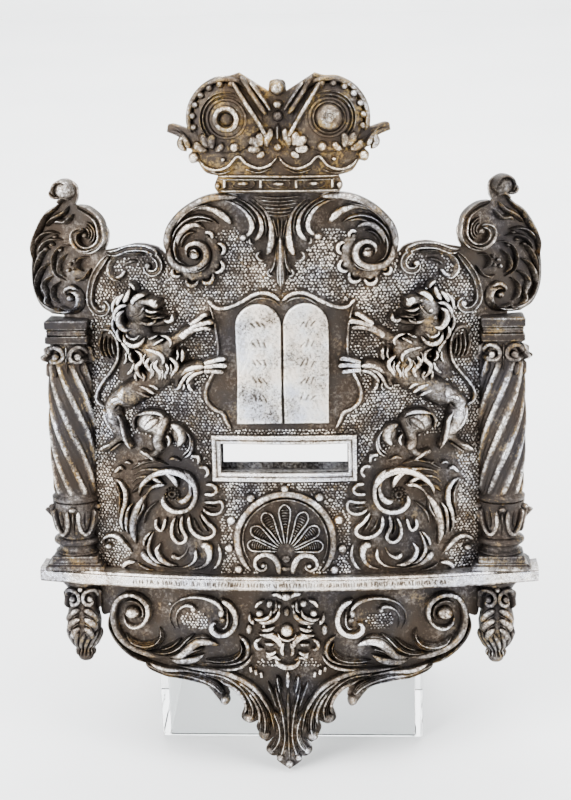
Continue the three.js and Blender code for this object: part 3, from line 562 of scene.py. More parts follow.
for flute in range(3):
    x = 0.9 + 1.9 * flute
    scrolls.stroke([(x * 1.3, 289), (x * 0.8, 284), (x * 0.4, 278)], 0.6, 2.6, glow=(0.5, 0.3))
relief_piece("great_scrolls", scrolls)

# %% [markdown]
# ## Shoulder scrolls, side hooks and finials
#
# The shoulders between the great scrolls and the finials carry small C-scrolls, and a long hook
# hangs beside each column. The finials are curled acanthus leaves: several strokes side by side,
# turning in opposite ways, with a knob on top. They reach the very edge of the plate, so their
# outer strokes follow the outline that the CAD model gives them.

# %% Chase shoulders and finials
finials = Relief()
finials.stroke(volute((64.9, 265.2), [2.4, 3.4, 4.6, 5.4], 20, -90,
                      [(62.6, 271.8), (68, 273.8), (76, 273.4), (83, 270.8), (88.6, 270.8)]),
               1.6, 3.4, GUTTER)
finials.bead(66.8, 265, 1.8, 3, glow=1)
finials.strokes(
    ("68,270.8 75,270.4 80.6,269.4 85.2,266 86.4,261.6 84,258 80.8,257.8", 1.2, 3, HEM, (0.4, 1)),
    ("78.4,262.4 80.6,259.2 84,258.4", 1.5, 2.8), ("72,267.4 76.6,266.4 80,263.8", 1.2, 2.6, CREASE, (0.3, 0.7)),
    ("86.4,270 91,264 95,257.4 97,250 96.8,244.6 93.6,240.8 89.6,240.6 87.6,243.4 89,245.8 91.2,245.2", 1.5, 3.2,
     GUTTER, (0.6, 1)),
)
finials.bead(90, 243.4, 1.7, 2.8)
# The knob on its stem, with a fold that hooks over on the outer side
finials.bead(109, 301.8, 5.4, 5.8, 5.2, rings=6, sides=20)
finials.strokes(
    (arc(109.2, 301.6, 4.6, -60, 220), 1.1, 6.4, WIRE, (1, 0.5)),
    ("110,298.4 113.6,298 115.2,300.2 113.8,303", 1.2, 5.6),
    ("106.6,296.6 108.6,298.2 110.4,297.2 112.8,294.6", 1.2, 4.6, WIRE, 0.6),
    # Inner volute: an outer rim that rolls in, and fine striations round a deep eye
    (volute((98.4, 279.4), [2, 5.2, 7.6, 9.2], 90, -90, [(90.6, 287), (95.8, 291.8), (103, 294.4)]), 1.9, 4.6,
     GUTTER, (1, 0.7)),
    ("104.6,281 105,277 102.6,272.8 98,271.2 93,273", 1.2, 4.6),
)
for ring in (3.2, 4.6, 6.0):
    finials.stroke(arc(99, 280.4, ring, 95, 250), 0.5, 3, glow=0.6)
finials.bead(98.6, 279.4, 1.7, 3.8, glow=0.8)
# Lower volute, bright and round, that runs out under the leaves
finials.stroke(volute((108, 247), [2.9, 5.4, 6.2, 7.4], 40, 90,
                      [(113.6, 239.8), (119.4, 240.6), (124.6, 244.6), (127.4, 251), (128, 259), (127, 268)]),
               1.7, 4.4, (LIP, lambda t: band_ends(t) * (1.1 - 0.3 * t)), (1, 0.5))
finials.bead(108.2, 247.2, 2.1, 3.8)
finials.strokes(
    ("110.8,248 109.8,251.4 106.4,252.8 103,251", 1.5, 4.4),
    ("106.6,240.6 112,239.6 118,240", 0.9, 3.4, WIRE, (1, 0.5)),
)
# Leaves that cross from the knob down the outer edge
for points, width, glow in (
    ("110.6,296 114.6,292.2 119,288.6 123.4,282 127.4,273.6 128.4,264", 1.9, (0.8, 0.5)),
    ("107,294 109.6,290.4 115,287.4 120,282.6", 1.7, (0.4, 0.8)),
    ("112.4,279.6 117.6,280.2 122.4,278.2 126.4,273", 1.2, (0.7, 1)),
    ("104.6,290 108.6,286 112.4,286 115,284", 1.6, (0.5, 0.9)),
    ("110.6,276.4 116.4,276.8 121.4,274 125,268", 1.3, (0.5, 0.7)),
    ("118,271.6 121.6,270.6 125.4,264.6 127,257", 1.4, (0.5, 0.8)),
    ("118.8,264.6 122.8,262 126,256 126.4,249", 1.5, (0.5, 0.8)),
    ("116,259 120,256.8 122.8,252.6 120.6,248 121,244 117.6,240.8", 1.4, (0.6, 1)),
    ("105.6,273.4 110.8,273.6 115,270 116.6,264.6 115,259 110.6,255.6", 0.8, (0.7, 0.8)),
    ("109,269.6 112.4,266 113.4,261 110.6,257.4", 0.8, (0.5, 0.9)),
    ("97,268.4 101.6,267.4 103.4,263.6 100.4,260.4", 0.9, (0.5, 0.8)),
    ("96.4,262.6 98.6,258.6 102.6,256.4 106,257.4", 1, (0.4, 0.9)),
    ("113.6,255.4 117,252.4 117.4,247.4 114.4,243.6", 1, (0.4, 0.6)),
):
    finials.stroke(points, width, 4.2, CREASE, glow)
for x, z in (
    (104.8, 266.2), (107.6, 264.4), (108.6, 261.2), (105.4, 262), (112.4, 271.6), (116.6, 274.2), (120.4, 271.8),
    (114.8, 278),
):
    finials.bead(x, z, 1.2, 3.2, glow=0.9, sides=8, rings=3)
relief_piece("shoulders_and_finials", finials)

# %% [markdown]
# ## The field behind the tablets
#
# A thin bright rim runs round the field that the two tablets stand on. It bows like a drawn-back
# curtain: two humps on top, then a waist where the lions' paws take hold, and two round bellies
# below. The field inside stays smooth and dark, so the pebbles are left out of it later.

# %% Chase the rim of the field
FIELD_RIM = [(0, 247.2), (4, 250.6), (9, 252), (14, 250.8), (20, 247.4), (26, 244.8), (31.4, 244.2), (35.8, 246.8)]
FIELD_SIDE = [(35.8, 246.4), (34, 240), (32.6, 231), (32.2, 222.6), (33.4, 214), (36.2, 208.6), (38.8, 201.8),
              (37.8, 196.4), (34.4, 193), (30, 190.8), (28.6, 187.2), (25.8, 182.4)]
rim = Relief()
rim.strokes(
    (FIELD_RIM, 1.35, 2.6, RING), ("0,244.6 4.6,248.2 9,249.2 13.4,248.4 19.4,244.6", 0.6, 1.4, WIRE, (0.4, 0.5)),
    ("33.4,245 35.2,247.2 36.6,248.4", 1.3, 2.8), (FIELD_SIDE[:5], 0.9, 2, WIRE, (0.8, 0.5)),
    (FIELD_SIDE[4:], 1.2, 2.4, RING, (0.6, 1)),
)
relief_piece("field_rim", rim)

# %% [markdown]
# ## The palmette
#
# A fan of seven petals stands in a double ring under the window. Each petal is a drop drawn in
# one thin raised line, and its hollow is filled with a stack of short ribs. Two volutes hold the
# ring below, and nine polished balls sit around it. The balls are the brightest things on the
# plate, because they stand up alone and every cloth has touched them, and their tops also carry
# a painted highlight.

# %% Chase the palmette
palmette = Relief()
HEART = np.array([0, 118.6])
palmette.strokes(
    (arc(0, 124.6, 24.4, -44, 224), 1.9, 3, BAND, 0.75), (arc(0, 124.6, 21.4, -34, 214), 0.6, 1.8, RING, 0.6),
    both=False)
for turn, length in ((90, 25), (63, 23.4), (37.5, 21.4), (12, 19.4)):
    way = pointing(turn)
    side = np.array([-way[1], way[0]])
    drop = [(4, 0.35), (0.5 * length, 1.5), (0.78 * length, 2.9), (0.92 * length, 2.5), (length, 0)]
    edge = [HEART + way * r + side * w for r, w in drop]
    edge += [HEART + way * r - side * w for r, w in drop[-2::-1]]
    single = turn == 90
    palmette.stroke(edge, 0.62, 2.3, RING, both=not single)
    for rib in range(9):
        reach = length * (0.4 + 0.058 * rib)
        half = np.interp(reach, [r for r, w in drop], [w for r, w in drop]) - 0.5
        if half > 0.4:
            palmette.stroke([HEART + way * reach - side * half, HEART + way * (reach + 0.35),
                            HEART + way * reach + side * half], 0.34, 1.1, glow=0.6, both=not single)
palmette.stroke("3.4,106.6 4,112 6.6,116.4 11,117.4 15,114.8 15.4,110.6 12.2,108.6 9.8,110.4 11,112.8", 2.2, 3.8,
                (BULB, lambda t: root_ends(t) ** 0.6), (0.8, 1.2))
palmette.bead(11.6, 111.4, 1.5, 3)
palmette.stroke("-3.6,110.4 0,109.4 3.6,110.4", 1.2, 2.2, glow=0.4, both=False)
palmette.bead(0, 114.6, 2.6, 1.8, 2.2, both=False, glow=0.3)
palmette.bead(0, 151.7, 2.4, 2.8, both=False)
for x, z in ((17.6, 147), (27.3, 135), (28.8, 119.8), (24.4, 108.8)):
    palmette.bead(x, z, 2.55, 2.8)
relief_piece("palmette", palmette)

# %% [markdown]
# ## The leaf rosettes in the lower corners
#
# Each lower corner is filled by a whirl of acanthus: two big hooked leaves roll round a seed
# hollow, looped petals fan out below them like a shell, and fat curled leaves cup the fan from
# underneath. The petals are loops again, a bright line round a dark hollow, so the same stroke
# function draws them. The rubbed leaves are broad and plain, and catch the most light.

# %% Chase the rosettes
rosette = Relief()
rosette.strokes(
    # the outer band, the ring of the whirl and the fat hooked leaf inside it
    ("75.6,145 73.4,151.6 67,157.6 58.4,160.2 50.4,158 45.6,152.4 45,146.4", 2.1, 5, LEAF, (1, 1.2)),
    ("72.6,141.6 70.8,147.6 66,152 60.6,152.6", 1.7, 4.4, BUD, (0.8, 1.1)),
    ("51.4,161 47.4,157 45.2,151.4 45.4,146 48,141.2 53,138.8 58.6,139.4 62,143 62,147.4", 1.5, 4.2, BAND, (0.8, 1)),
    ("53,161 49.6,156.6 47.6,151.6 48.6,147.2 51.6,144.6 55.4,144.6", 2.5, 4.8, BUD, (0.8, 1)),
    ("79,155.4 74.6,159 67.4,160.6 60.4,159.6 56.2,156.4 54.8,152.4 55.2,150.8", 2.2, 4.9, BUD, (0.8, 1)),
    ("79.4,151.6 76,155.2 70.4,156.6 65.2,155.4 62.2,152.6", 1.7, 4.2, BUD, (0.8, 1)),
    ("59,163 65,165.2 72.6,163.4 79.6,159", 1.3, 3.2, CREASE, 0.5),
    ("64.6,150 69.6,152 75.4,150.6 79.6,146.6", 1.9, 2.8, CREASE, 0.3),
    # the long leaves that fall on the outer side
    ("70.4,148 74,143 76.8,137 78.4,129.4 77.4,119.6", 2.3, 4.4, LEAF, (0.6, 1)),
    ("72.4,144 72.8,139.4 75.4,134.6 77,129", 1.2, 4, CREASE, (0.9, 0.7)),
    ("78.6,142 80.8,138 81.6,131.4 81.2,124.4", 1.2, 3.8, LEAF, (1, 0.8)),
    ("65,143.6 68.4,141 71.4,137 73,131", 1.1, 3, CREASE, (0.5, 0.6)),
    ("89.4,154.2 85,152.8 82.3,148.4 82.2,142 84,136 84.6,130 83.8,125.4", 1.5, 3.8, LEAF, (1, 0.9)),
    ("87.6,152 85.4,147 85.6,140 86.6,133", 1.3, 2.4, CREASE, (0.5, 0.4)),
    # the cups under the fan
    ("43.4,121.6 40,121.4 38.8,117.6 39.8,113 43.4,109.6 50,107.8", 2.9, 4.8, ROOT, (1, 0.7)),
    ("34.4,122.6 33.2,117 34.8,111.8 38.6,107.8", 1.1, 3, LEAF, (0.9, 0.7)),
    ("46.2,119.6 46,115 48.8,111.2 54,109 60,109", 1.5, 4, ROOT, (1, 0.8)),
    ("50,120 52.2,116 55.8,114.2 59,116.4", 1.7, 3.6, BUD, (0.7, 1)),
    ("64,122 66,118.2 64.6,114 61,111.2 55.6,109.8", 1.5, 3.8, LEAF, (1, 0.7)),
    ("67.6,127.8 69.6,122.4 70.2,117 67,112.4 62,110", 1.1, 3.6, LEAF, (1, 0.8)),
    ("68.6,127.8 72,123.6 73,118.6", 1, 3.4, LEAF, (1, 0.9)),
    ("75,116.8 73,114.8 69.6,111.4 65,109 58,107.6", 2.5, 4.2, ROOT, (1, 0.5)),
    ("77.6,110 73,107.6 68,106.4", 0.6, 2.4, WIRE, (0.6, 0.5)),
    # the two curls that run to the corner
    ("79.8,115 83,119.4 86.8,122.8 91,123.6 94.6,121.2 95,118", 1.4, 3.6, LEAF, (0.8, 1)),
    ("77.8,110.2 81.8,110 84.6,107.6 84.2,105.4", 1.5, 3.4, LEAF, (0.9, 1)),
)
rosette.bead(92.6, 117.2, 2.2, 3.4, 1.8)
rosette.bead(40.8, 121.6, 3, 5, 2.1)
rosette.bead(56.6, 114.6, 1.6, 3.8, 1.3)
# Looped petals: (points of the loop, width)
for loop, width in (
    ("41.4,144.8 36.4,144.6 32.2,145.2 31.4,142 33.4,139 38,138.6 42,141.6", 0.95),
    ("43,139.2 39.4,134 36,130.8 36.2,127.4 40.6,125.4 45.6,127 48.6,131.4 49,137.4", 1.15),
    ("52.4,137.4 53,131 50.8,126 52,123 55.4,122.8 58,126.4 57.8,131.6 56,136", 1.1),
    ("61,135.4 62.2,130.6 63.6,128.4 66.2,130.4 65.8,134.8", 1),
    ("40.4,154 36.4,153.6 34.4,151 36.4,148.8 41,148.8", 1), ("43.6,162.4 40.2,162.8 38.6,160 40.6,157.2", 1),
    ("47.4,168.6 43.6,168 42.8,164.6", 1),
):
    rosette.stroke(loop, width, 3.4, BAND)
for points, width in (
    ("44,137 41.4,131.8 39.2,128.4", 0.9), ("55,135 55.2,130 54,126", 0.8), ("41,142.4 37,142 34.4,142", 0.8),
    ("46.8,135.6 45,131 42.4,128.2", 0.7),
):
    rosette.stroke(points, width, 2.2, CREASE, (0.45, 0.6))
for turn in range(12):
    angle = math.radians(30 * turn)
    for ring in (1.6, 3.4):
        rosette.bead(57.6 + ring * math.cos(angle), 151 + ring * math.sin(angle) * 0.9 - 3.4, 0.8, 2.2,
                     glow=0.45, sides=6, rings=2)
relief_piece("leaf_rosettes", rosette)

# %% [markdown]
# ## The apron: scrolls, a hanging bouquet and fronds down to the tip
#
# Below the ledge the plate narrows to a leafy tip. Two C-scrolls face each other across a bouquet,
# the edge rolls up into a volute at each end, and long fluted fronds sweep in and down. The fronds
# get the fluted section, which shows the parallel veins that the chaser drew with a liner.

# %% Chase the apron
apron = Relief()
# The rolled edge ends in a volute, with a crescent leaf below it
apron.strokes(
    ("86,80.6 84,76.6 79.6,75 74.8,77.2 72,82.4 72.8,88.2 77.4,92.2 83.6,92.4 88.4,88.8 90.6,82 90.2,75 87.4,69 "
     "81.4,64.2 72,61.2 62,60.2", 1.7, 5, (BULB, lambda t: band_ends(t) * (0.7 + 0.3 * np.minimum(1, 2 * t))),
     (1, 0.35)),
    ("86,87 81,89.6 76,87.8 74.4,82.8 77,78.6", 0.9, 4.2, WIRE, (0.4, 0.45)),
)
apron.bead(80.8, 82.6, 4.4, 5, 3.9)
apron.strokes(
    ("93,82 93,74 88.6,66 80,59 68,55", 1.8, 4, FROND, 0.4),
    ("66.6,76 65.4,71.4 68.4,67 74.4,65 80.6,66.4 85,70.6", 2.4, 4, FROND, (0.9, 0.4)),
    # The C-scroll: its outer band, the drop inside, and the hooks across
    ("34,93.6 28.8,90 26,84 26.8,78 30.2,74.4 34.8,73.6 38.2,76 38,79.4 35.6,80.2", 1.7, 4.6, BAND),
    ("30.4,87.6 30,81.6 31.4,77.8 34.4,77.4", 0.8, 3.6, LEAF, (0.5, 0.9)),
)
apron.bead(32.8, 81.8, 2.2, 3.4, 1.8, glow=0.42)
apron.stroke("33,84.4 33.4,88.4 36.8,92 43,93.8 50,93.2 56.4,90.4 60.4,85.6 61,80 58.6,75.2", 1.7, 4.6, ROOT,
             (1, 0.5))
apron.bead(33.4, 85.6, 1.9, 4.8, 2.6)
apron.stroke("47.6,86.4 49.4,88.8 53,88.4 56.6,85 57.8,80 56.4,75.6", 1.4, 4, ROOT, (1, 0.5))
apron.bead(48, 87, 1.8, 4.2, 1.6)
apron.strokes(
    # leaf with three lobes and parallel veins
    ("35,67.4 40.6,69.8 46.4,69.2 51,65.6 55,61.8 62,59.8", 2.7, 4.8, LEAF, (1, 0.5)),
    ("48,73.8 52,70.4 56,66 62,62.8 72,62", 2, 4.2, FROND, (0.9, 0.5)),
    ("43,62.6 48,59.8 54,58.6 62,58.8", 2.2, 4.2, LEAF, (0.9, 0.4)),
    ("43,66.2 48.6,64.6 53.6,61", 2, 4, FROND, (0.7, 0.5)),
    ("39,71.6 44,72.6 49,71 54.6,66.4", 1.2, 3.4, CREASE, (0.6, 0.4)),
    ("55,71 60,66.4 67,63.6", 1.6, 3.6, FROND, (0.5, 0.4)),
    # two cups that hold the leaf
    ("25,73.6 21.2,70.8 19.8,66.2 21.6,61.6 26.6,58.8 34,57.6 46,57.6", 1.6, 4.6, ROOT, (1, 0.5)),
    ("24.4,70.6 23,66 26,61.8 32,59.8 43,59.6", 1.9, 4, FROND, (0.7, 0.5)),
    ("17.6,63.4 20.4,59.4 25.6,56.4 33,55.2 44,55.6 56,56.8", 1.6, 4.4, ROOT, (1, 0.4)),
    # the lower edge, with its two hanging tips
    ("30.8,45.4 36,48.8 44,51.8 53,53.4 63,53.4 73,56.4", 1.9, 4.8, BUD, (0.5, 0.9)),
    ("33.4,41 37.4,45.4 44,48.8 53,50.8 63,51.4 75,56", 2.6, 4, FROND_BAND, (0.7, 0.5)),
    ("37,43 43,46.6 52,48.4 62,49.4", 1, 3.4, CREASE, (0.8, 0.7)),
    ("36,52.6 30,52.4 24,50.8", 1.2, 3.4, CREASE, (0.5, 0.6)),
    # fronds that fall to the tip, each with a rounded end
    ("58,55.4 44,55 34,54 25,51 17,45.6 12,38.6 8.6,31 7.4,24", 1.5, 5, LEAF, (0.5, 0.7)),
    ("44,53.4 33,52 24.6,46.8 20.4,40.6 18.2,34 19.4,28", 2.9, 5, FROND_BAND, (0.6, 0.7)),
    ("38,50.6 28.6,46.4 23.4,40.6 21.8,34.6 23.4,30.4", 1.4, 4.6, LEAF, (0.6, 0.9)),
    ("26,50.4 18,43.4 13.4,35 11.8,27 12.6,19.4", 2.9, 5.2, FROND_BAND, (0.6, 0.75)),
    ("21.4,45 16.8,38 14.8,31 15.6,24.6", 1.3, 4.8, LEAF, (0.6, 0.9)),
    ("14,43.6 10,36 8,28 7,20.6", 1.6, 4.8, FROND, (0.5, 0.6)),
    ("8,33 5.2,26 4.6,19.6 6.2,14.4 9.4,10.4", 2.1, 3.4, FROND_BAND, (0.6, 0.9)),
    ("6.6,47.6 5,40 2.8,30 2,18 4.4,7.4", 1.8, 3.2, FROND_BAND, (0.5, 0.8)),
    ("10.4,49 8,42.4 5.4,34", 1.2, 4.6, CREASE, (0.7, 0.5)),
    ("5.4,52.4 4.8,47.6 3.6,42", 2, 4.8, FROND, (0.9, 0.5)),
)
for x, z, radius, tall, glow in (
    (32.8, 38.4, 2.4, 3.2, 0.6), (20.4, 29, 3.2, 3, 0.6), (12.6, 20, 3.2, 3.2, 0.6), (9.4, 11, 2.1, 2.2, 0.75),
    (4.6, 7, 2, 2, 0.6),
):
    apron.bead(x, z, radius, 5 if z > 15 else 3, tall, glow=glow)
apron.strokes(
    ("0,56 0,50 0,45", 1.5, 5.4, LEAF, (1, 0.6)), ("0,47 0,34 0,18 0,4", 1.6, 3.2, CREASE, (0.3, 0.5)),
    both=False)
apron.bead(0, 3.2, 2.2, 2.6, 2.4, both=False, glow=0.7)
# The bouquet of round petals, leaves and berries
apron.bead(0, 77, 3.7, 5, both=False, rings=6, sides=20)
apron.stroke(arc(0, 77, 5.1, 195, 345), 0.9, 3.4, LEAF, both=False)
for x, z, r, tall in (
    (8.8, 91, 2.2, 2.3), (14, 86, 2.3, 2.2), (19.4, 77, 1.9, 3.4), (9.4, 63.2, 1.9, 1.8), (3.6, 90, 1.2, 1.6),
    (17.6, 81.6, 1.4, 1.4), (11.6, 79.4, 1.3, 1.3),
):
    apron.bead(x, z, r, 3.8, tall)
for points, width in (
    ("2.6,66.6 4.4,71.4 8.4,74 12.8,72.8", 1.9), ("12.4,73 15.8,70.8 15.2,67.4 11.8,66.8", 1.3),
    ("3.4,89.4 4.8,84.6 9.2,81.6 15.6,81", 1.5), ("7.6,88.6 8.8,84.8 13,82.8 18,83.4", 1.2),
    ("5.8,79.2 9.6,77.4 14,77.4", 1.2), ("6.4,75.8 10,74.6 15,74.8", 1.1), ("1.6,94 4.6,96.4 8,96", 1.5),
    ("1.6,71.4 2.8,66.6 1.6,62.6", 1.3), ("16,79.6 18.8,82.8 19,86.4", 1.1), ("5.2,66 8.6,64.2 11.4,65.4", 1.2),
    ("11,93.4 14.6,91.6 16.6,88.4", 1.2), ("5.4,93 5.4,88.4 8,86", 1), ("6,70 9,69.6 12,70", 1.1),
    ("3,60.6 6.6,62.8 10.6,60.6", 1),
):
    apron.stroke(points, width, 3.8, LEAF, (1, 0.8))
apron.stroke("-6.8,62.8 -4.4,58.6 0,57 4.4,58.6 6.8,62.8", 1.8, 4, LEAF, both=False)
apron.bead(0, 94.8, 3.6, 3.8, 2.6, both=False)
apron.bead(0, 86.4, 2, 3.4, 2.8, both=False, glow=0.7)
for x, z in ((13.4, 52.8), (16.2, 54.2), (18.8, 55.8)):
    apron.stroke([(x, z - 1.6), (x + 0.4, z + 1.6)], 1, 2.6, BAND)
relief_piece("apron_scrolls", apron)

# %% [markdown]
# ## The lions
#
# Two rampant lions hold the field of the tablets. They were cast, so their muscles run into each
# other with no creases, and the chaser then cut the mane, the ribs and the toes into them. The
# scene works the same way: plain shells for limbs and muscles are melted into one body by a voxel
# remesh and smoothed, and the cut details are strokes laid on top. Only the right lion is
# modelled. The left one is its mirror image, as the two castings were; only the gilt beads between
# the locks and the small bosses of the face are set on the right one alone.

# %% Melt the limbs into one cast body
def take_result(model):
    """Runs the modifiers of a helper object, gives back the plain mesh and removes the helper."""
    bpy.context.view_layer.update()
    mesh = bpy.data.meshes.new_from_object(model.evaluated_get(bpy.context.evaluated_depsgraph_get()))
    raw = model.data
    bpy.data.objects.remove(model)
    bpy.data.meshes.remove(raw)
    return mesh


def melt(shells, voxel, rounds):
    """Melts overlapping shells into one smooth skin, given back as points and faces."""
    points, faces, _ = shells.whole()
    wax = bpy.data.meshes.new("wax")
    wax.from_pydata([tuple(p) for p in points], [], faces)
    model = put("wax", wax)
    remesh = model.modifiers.new("melt", "REMESH")
    remesh.mode = "VOXEL"
    remesh.voxel_size = voxel
    soften = model.modifiers.new("soften", "SMOOTH")
    soften.factor = 0.5
    soften.iterations = rounds
    skin = take_result(model)
    result = read_points(skin, "co"), [list(p.vertices) for p in skin.polygons], read_points(skin, "normal")
    bpy.data.meshes.remove(skin)
    return result


def full_ends(t):
    """A limb: full along its length, rounded at both ends."""
    return np.minimum(1, np.minimum(6 * t + 0.25, 6 * (1 - t) + 0.25)) ** 0.5


limbs = Relief(mirrored=False)
for points, width, height in (
    ("57,215 63,209 70,204.6 77,200 84,195.4", 7, 6.4), ("70,207 78,201.6 85,196 89.6,191", 4.8, 6),
    ("88.8,191.6 87,186.6 84.4,181.6 81.8,178", 4.9, 5.8), ("83,180 80.4,175.6 77.2,171.2", 2.1, 5),
    ("82,177.6 85.6,174.4 90,171 94.8,168.4", 2.3, 4.4), ("61.6,189 60.4,185.4 62.6,180 64,175 61,171", 3.2, 5.6),
    ("62.4,172.6 66,168.6 70,168.6 73.4,170.6", 2.2, 4.4), ("60,224 54.6,227.4 50,230.4 44.6,234", 3.4, 5.4),
    ("58,210.6 52,211.4 46,213.4 39,214.8", 4.2, 5.6), ("52,209.6 52.6,206 53.8,203.4", 2.2, 4.8),
    ("47.4,210.4 46.4,206.4 46.4,203", 1.7, 4.4), ("72,247.6 66.6,247.4 62.4,246 60.4,243.6", 3, 8.4),
    ("72,236.6 65.6,236 59.6,236.4 56.4,238.4", 1.9, 6.2),
):
    limbs.stroke(points, width, height, (ROUND, full_ends))
for x, z, wide, tall, height in (
    (67.4, 185.4, 8, 6.8, 7), (86.4, 187, 4.8, 7.4, 6.8), (64, 222, 10.5, 9.5, 6.8),
    (71.6, 242.4, 7, 7.6, 8.8), (73, 231, 7.5, 8, 7.2), (61.6, 212.4, 7, 7.5, 6.6), (53, 180, 3.8, 5.8, 4.6),
):
    limbs.bead(x, z, wide, height, tall, rings=6, sides=24)
body_at, body_faces, body_out = melt(limbs, 0.6, 7)
# Shine grows with the height of the body and with how squarely it faces out of the plate: partly rubbing of the high
# parts, partly a painted highlight. The body is also made darker where z is above 194 and x under 80, and darker still
# where z is above 206
height_share = np.clip((body_at[:, 2] - 1.6) / 5.2, 0, 1)
body_shine = height_share ** 1.3 * np.clip(body_out[:, 2], 0, 1) ** 1.5
body_shine *= np.where(body_at[:, 1] > 206, 0.3, np.where((body_at[:, 1] > 194) & (body_at[:, 0] < 80), 0.4, 1.0))
print("one lion's body:", len(body_faces), "faces")

# %% Cut mane, ribs, paws and face
lion = Relief()
lion.add(body_at, body_faces, body_shine)
# Locks of the mane hang in waves over the chest, and curl round cheek and neck
for points, width, lift in (
    ("49.4,224.4 48.8,220.6 49.8,216.8", 1.1, 3.6), ("51.6,224 51.2,220.4 52.4,217.4", 0.6, 3.8),
    ("60.4,230.8 56.4,230 54.2,227.4 55.4,224.2", 0.9, 4.6), ("57.6,229 60.6,227.4 63.4,225.4", 0.8, 5.6),
    ("66,228.6 63,229.4 60.4,231", 0.7, 4.8), ("68.4,224 63.4,223 59.4,221.4 58,218.4 59.4,215.6", 1.2, 5.6),
    ("56,220.2 52.4,217.2 52,214.4 54,211.4 55.4,208.4", 1.25, 4.6),
    ("57.6,217.4 56,213.8 57.6,211 57.2,207.8", 1, 5), ("60.4,219.4 62.6,215.6 60,211.8 61.2,207.8", 1.3, 5.6),
    ("64.8,220.4 66.8,216 63.8,212 66.2,207.6", 1.35, 5.8),
    ("73.4,223 69.6,221.4 69,217.8 72,214.6 71,210.6 67.4,207.4", 1.3, 5.6),
    ("74.6,222 75.2,218.8 73,216.4", 0.8, 5.4), ("62.8,218 64.4,215 62.4,212", 0.55, 5.8),
    ("73.4,216.6 74.6,212.8 77.8,209.8", 1, 5.2), ("71.8,213 73,209.8 72.2,206.6", 0.9, 5.2),
    ("80,227 76.8,223.8 75.8,219.8", 1.2, 5), ("69.8,212 68.2,209.6 69.4,206.6", 0.8, 5.4),
    ("59,214.6 58.6,211 59.6,207.2", 0.6, 5.4), ("55,217 54.2,214 55.6,210.6", 0.55, 4.8),
    ("77.6,222 77.4,218 79.4,214.6", 0.7, 4.4), ("66.4,222 68,219 67.2,215", 0.6, 5.8),
    ("67,229.6 69,226.6 72.8,225.2 76.4,226.8 78,231", 1.5, 6.2),
    ("68.8,231 71.6,228.8 75,229.8 75.8,232.4", 0.7, 6.8),
    ("73,233.6 76.8,233.2 79.6,236.8 79.2,241 76.6,243", 1.7, 6.8),
    ("75,245.6 79.2,244.6 81.8,241 81.8,236.8", 1.3, 6), ("74,254 75.2,250 77.4,246.4", 1.5, 6.2),
    ("76.8,251.4 79.6,248.4 80.8,244.6", 1.4, 5.4), ("79.8,250.4 82.8,246 83.4,240.6", 1.1, 4.6),
    ("83,240 83.6,234.6 81.6,229.8", 1, 4.4), ("71.4,252.6 72.6,255 75.2,257", 0.9, 5),
    ("80.4,234 81.2,230 79,226.4", 1.1, 5.2), ("37.4,214.6 42,215 47,213.4 50.8,209.8", 1.6, 3.8),
    ("38,212.8 43,211.4 46.4,208.2 47.6,205", 1.2, 3.6),
    ("41.6,213.4 46.4,211.4 49.4,207.8 51,204.6 53.6,203.2 54.2,205.4", 1.1, 3.8),
    ("46.4,207 46,204.2 44,202.2", 1, 3.4), ("49.2,206.6 48.6,204.4 49.6,202.8", 0.7, 3.4),
):
    lion.stroke(points, width, 2.4, LEAF, (1, 0.9), lift=lift)
# Gilding is left between the locks
for x, z, radius, height in (
    (57.6, 227, 1.4, 6), (74.2, 238, 2.4, 8.4), (70.4, 230, 1.8, 8), (64, 221, 1.2, 7), (71.8, 219, 1.3, 7.2),
    (68, 244.4, 1.2, 9.6), (52, 226.4, 1.2, 4.4),
):
    lion.bead(x, z, radius, height, both=False, glow=0.42)
# The face: brow, cheek, nose, lips, teeth, tongue and an eye in a deep socket
for points, width, height, lift, glow in (
    ("65.8,251 68.6,250.8 71.4,248.6 72.4,245.6", 1.6, 2.2, 7.8, 1),
    ("65.2,248.2 62.4,247.2 60,244.8", 2.1, 2.4, 6.8, 1.1), ("59.8,249 61,247.2 61,245", 0.8, 2.4, 7.6, 1.1),
    ("66.6,244 63.6,242.6 59.6,242.8", 0.8, 2.2, 7, 0.9),
    ("66.4,245.6 67.6,242.8 70,240.2 73.4,240", 0.7, 2, 7.4, 0.45),
    ("67.2,241.4 64.2,240 61,240.6", 0.6, 1.4, 6, 0.1), ("64.6,238.6 60,239.4 57.4,239.4", 0.7, 2, 4.6, 0.4),
    ("58.4,238.6 55.4,237.4 53.4,238.8 53.8,241.6", 1.2, 2.4, 4.2, 1.1),
    ("69.6,237.6 66.2,236.2 62.8,236.6 61.2,238.4", 1, 2, 5.6, 0.7),
):
    lion.stroke(points, width, height, LEAF, glow, lift=lift)
lion.bead(67.4, 247.4, 1.5, 1.6, 1.1, both=False, glow=0, lift=8)
lion.bead(67, 247.4, 0.7, 2, 0.6, both=False, glow=1, lift=8.4, sides=8, rings=3)
lion.bead(71.8, 242, 1.5, 2, 1.3, both=False, glow=1.1, lift=8.2, sides=8, rings=3)
lion.bead(64.2, 237.8, 0.8, 2.4, 0.8, both=False, glow=1, lift=5.6, sides=6, rings=2)
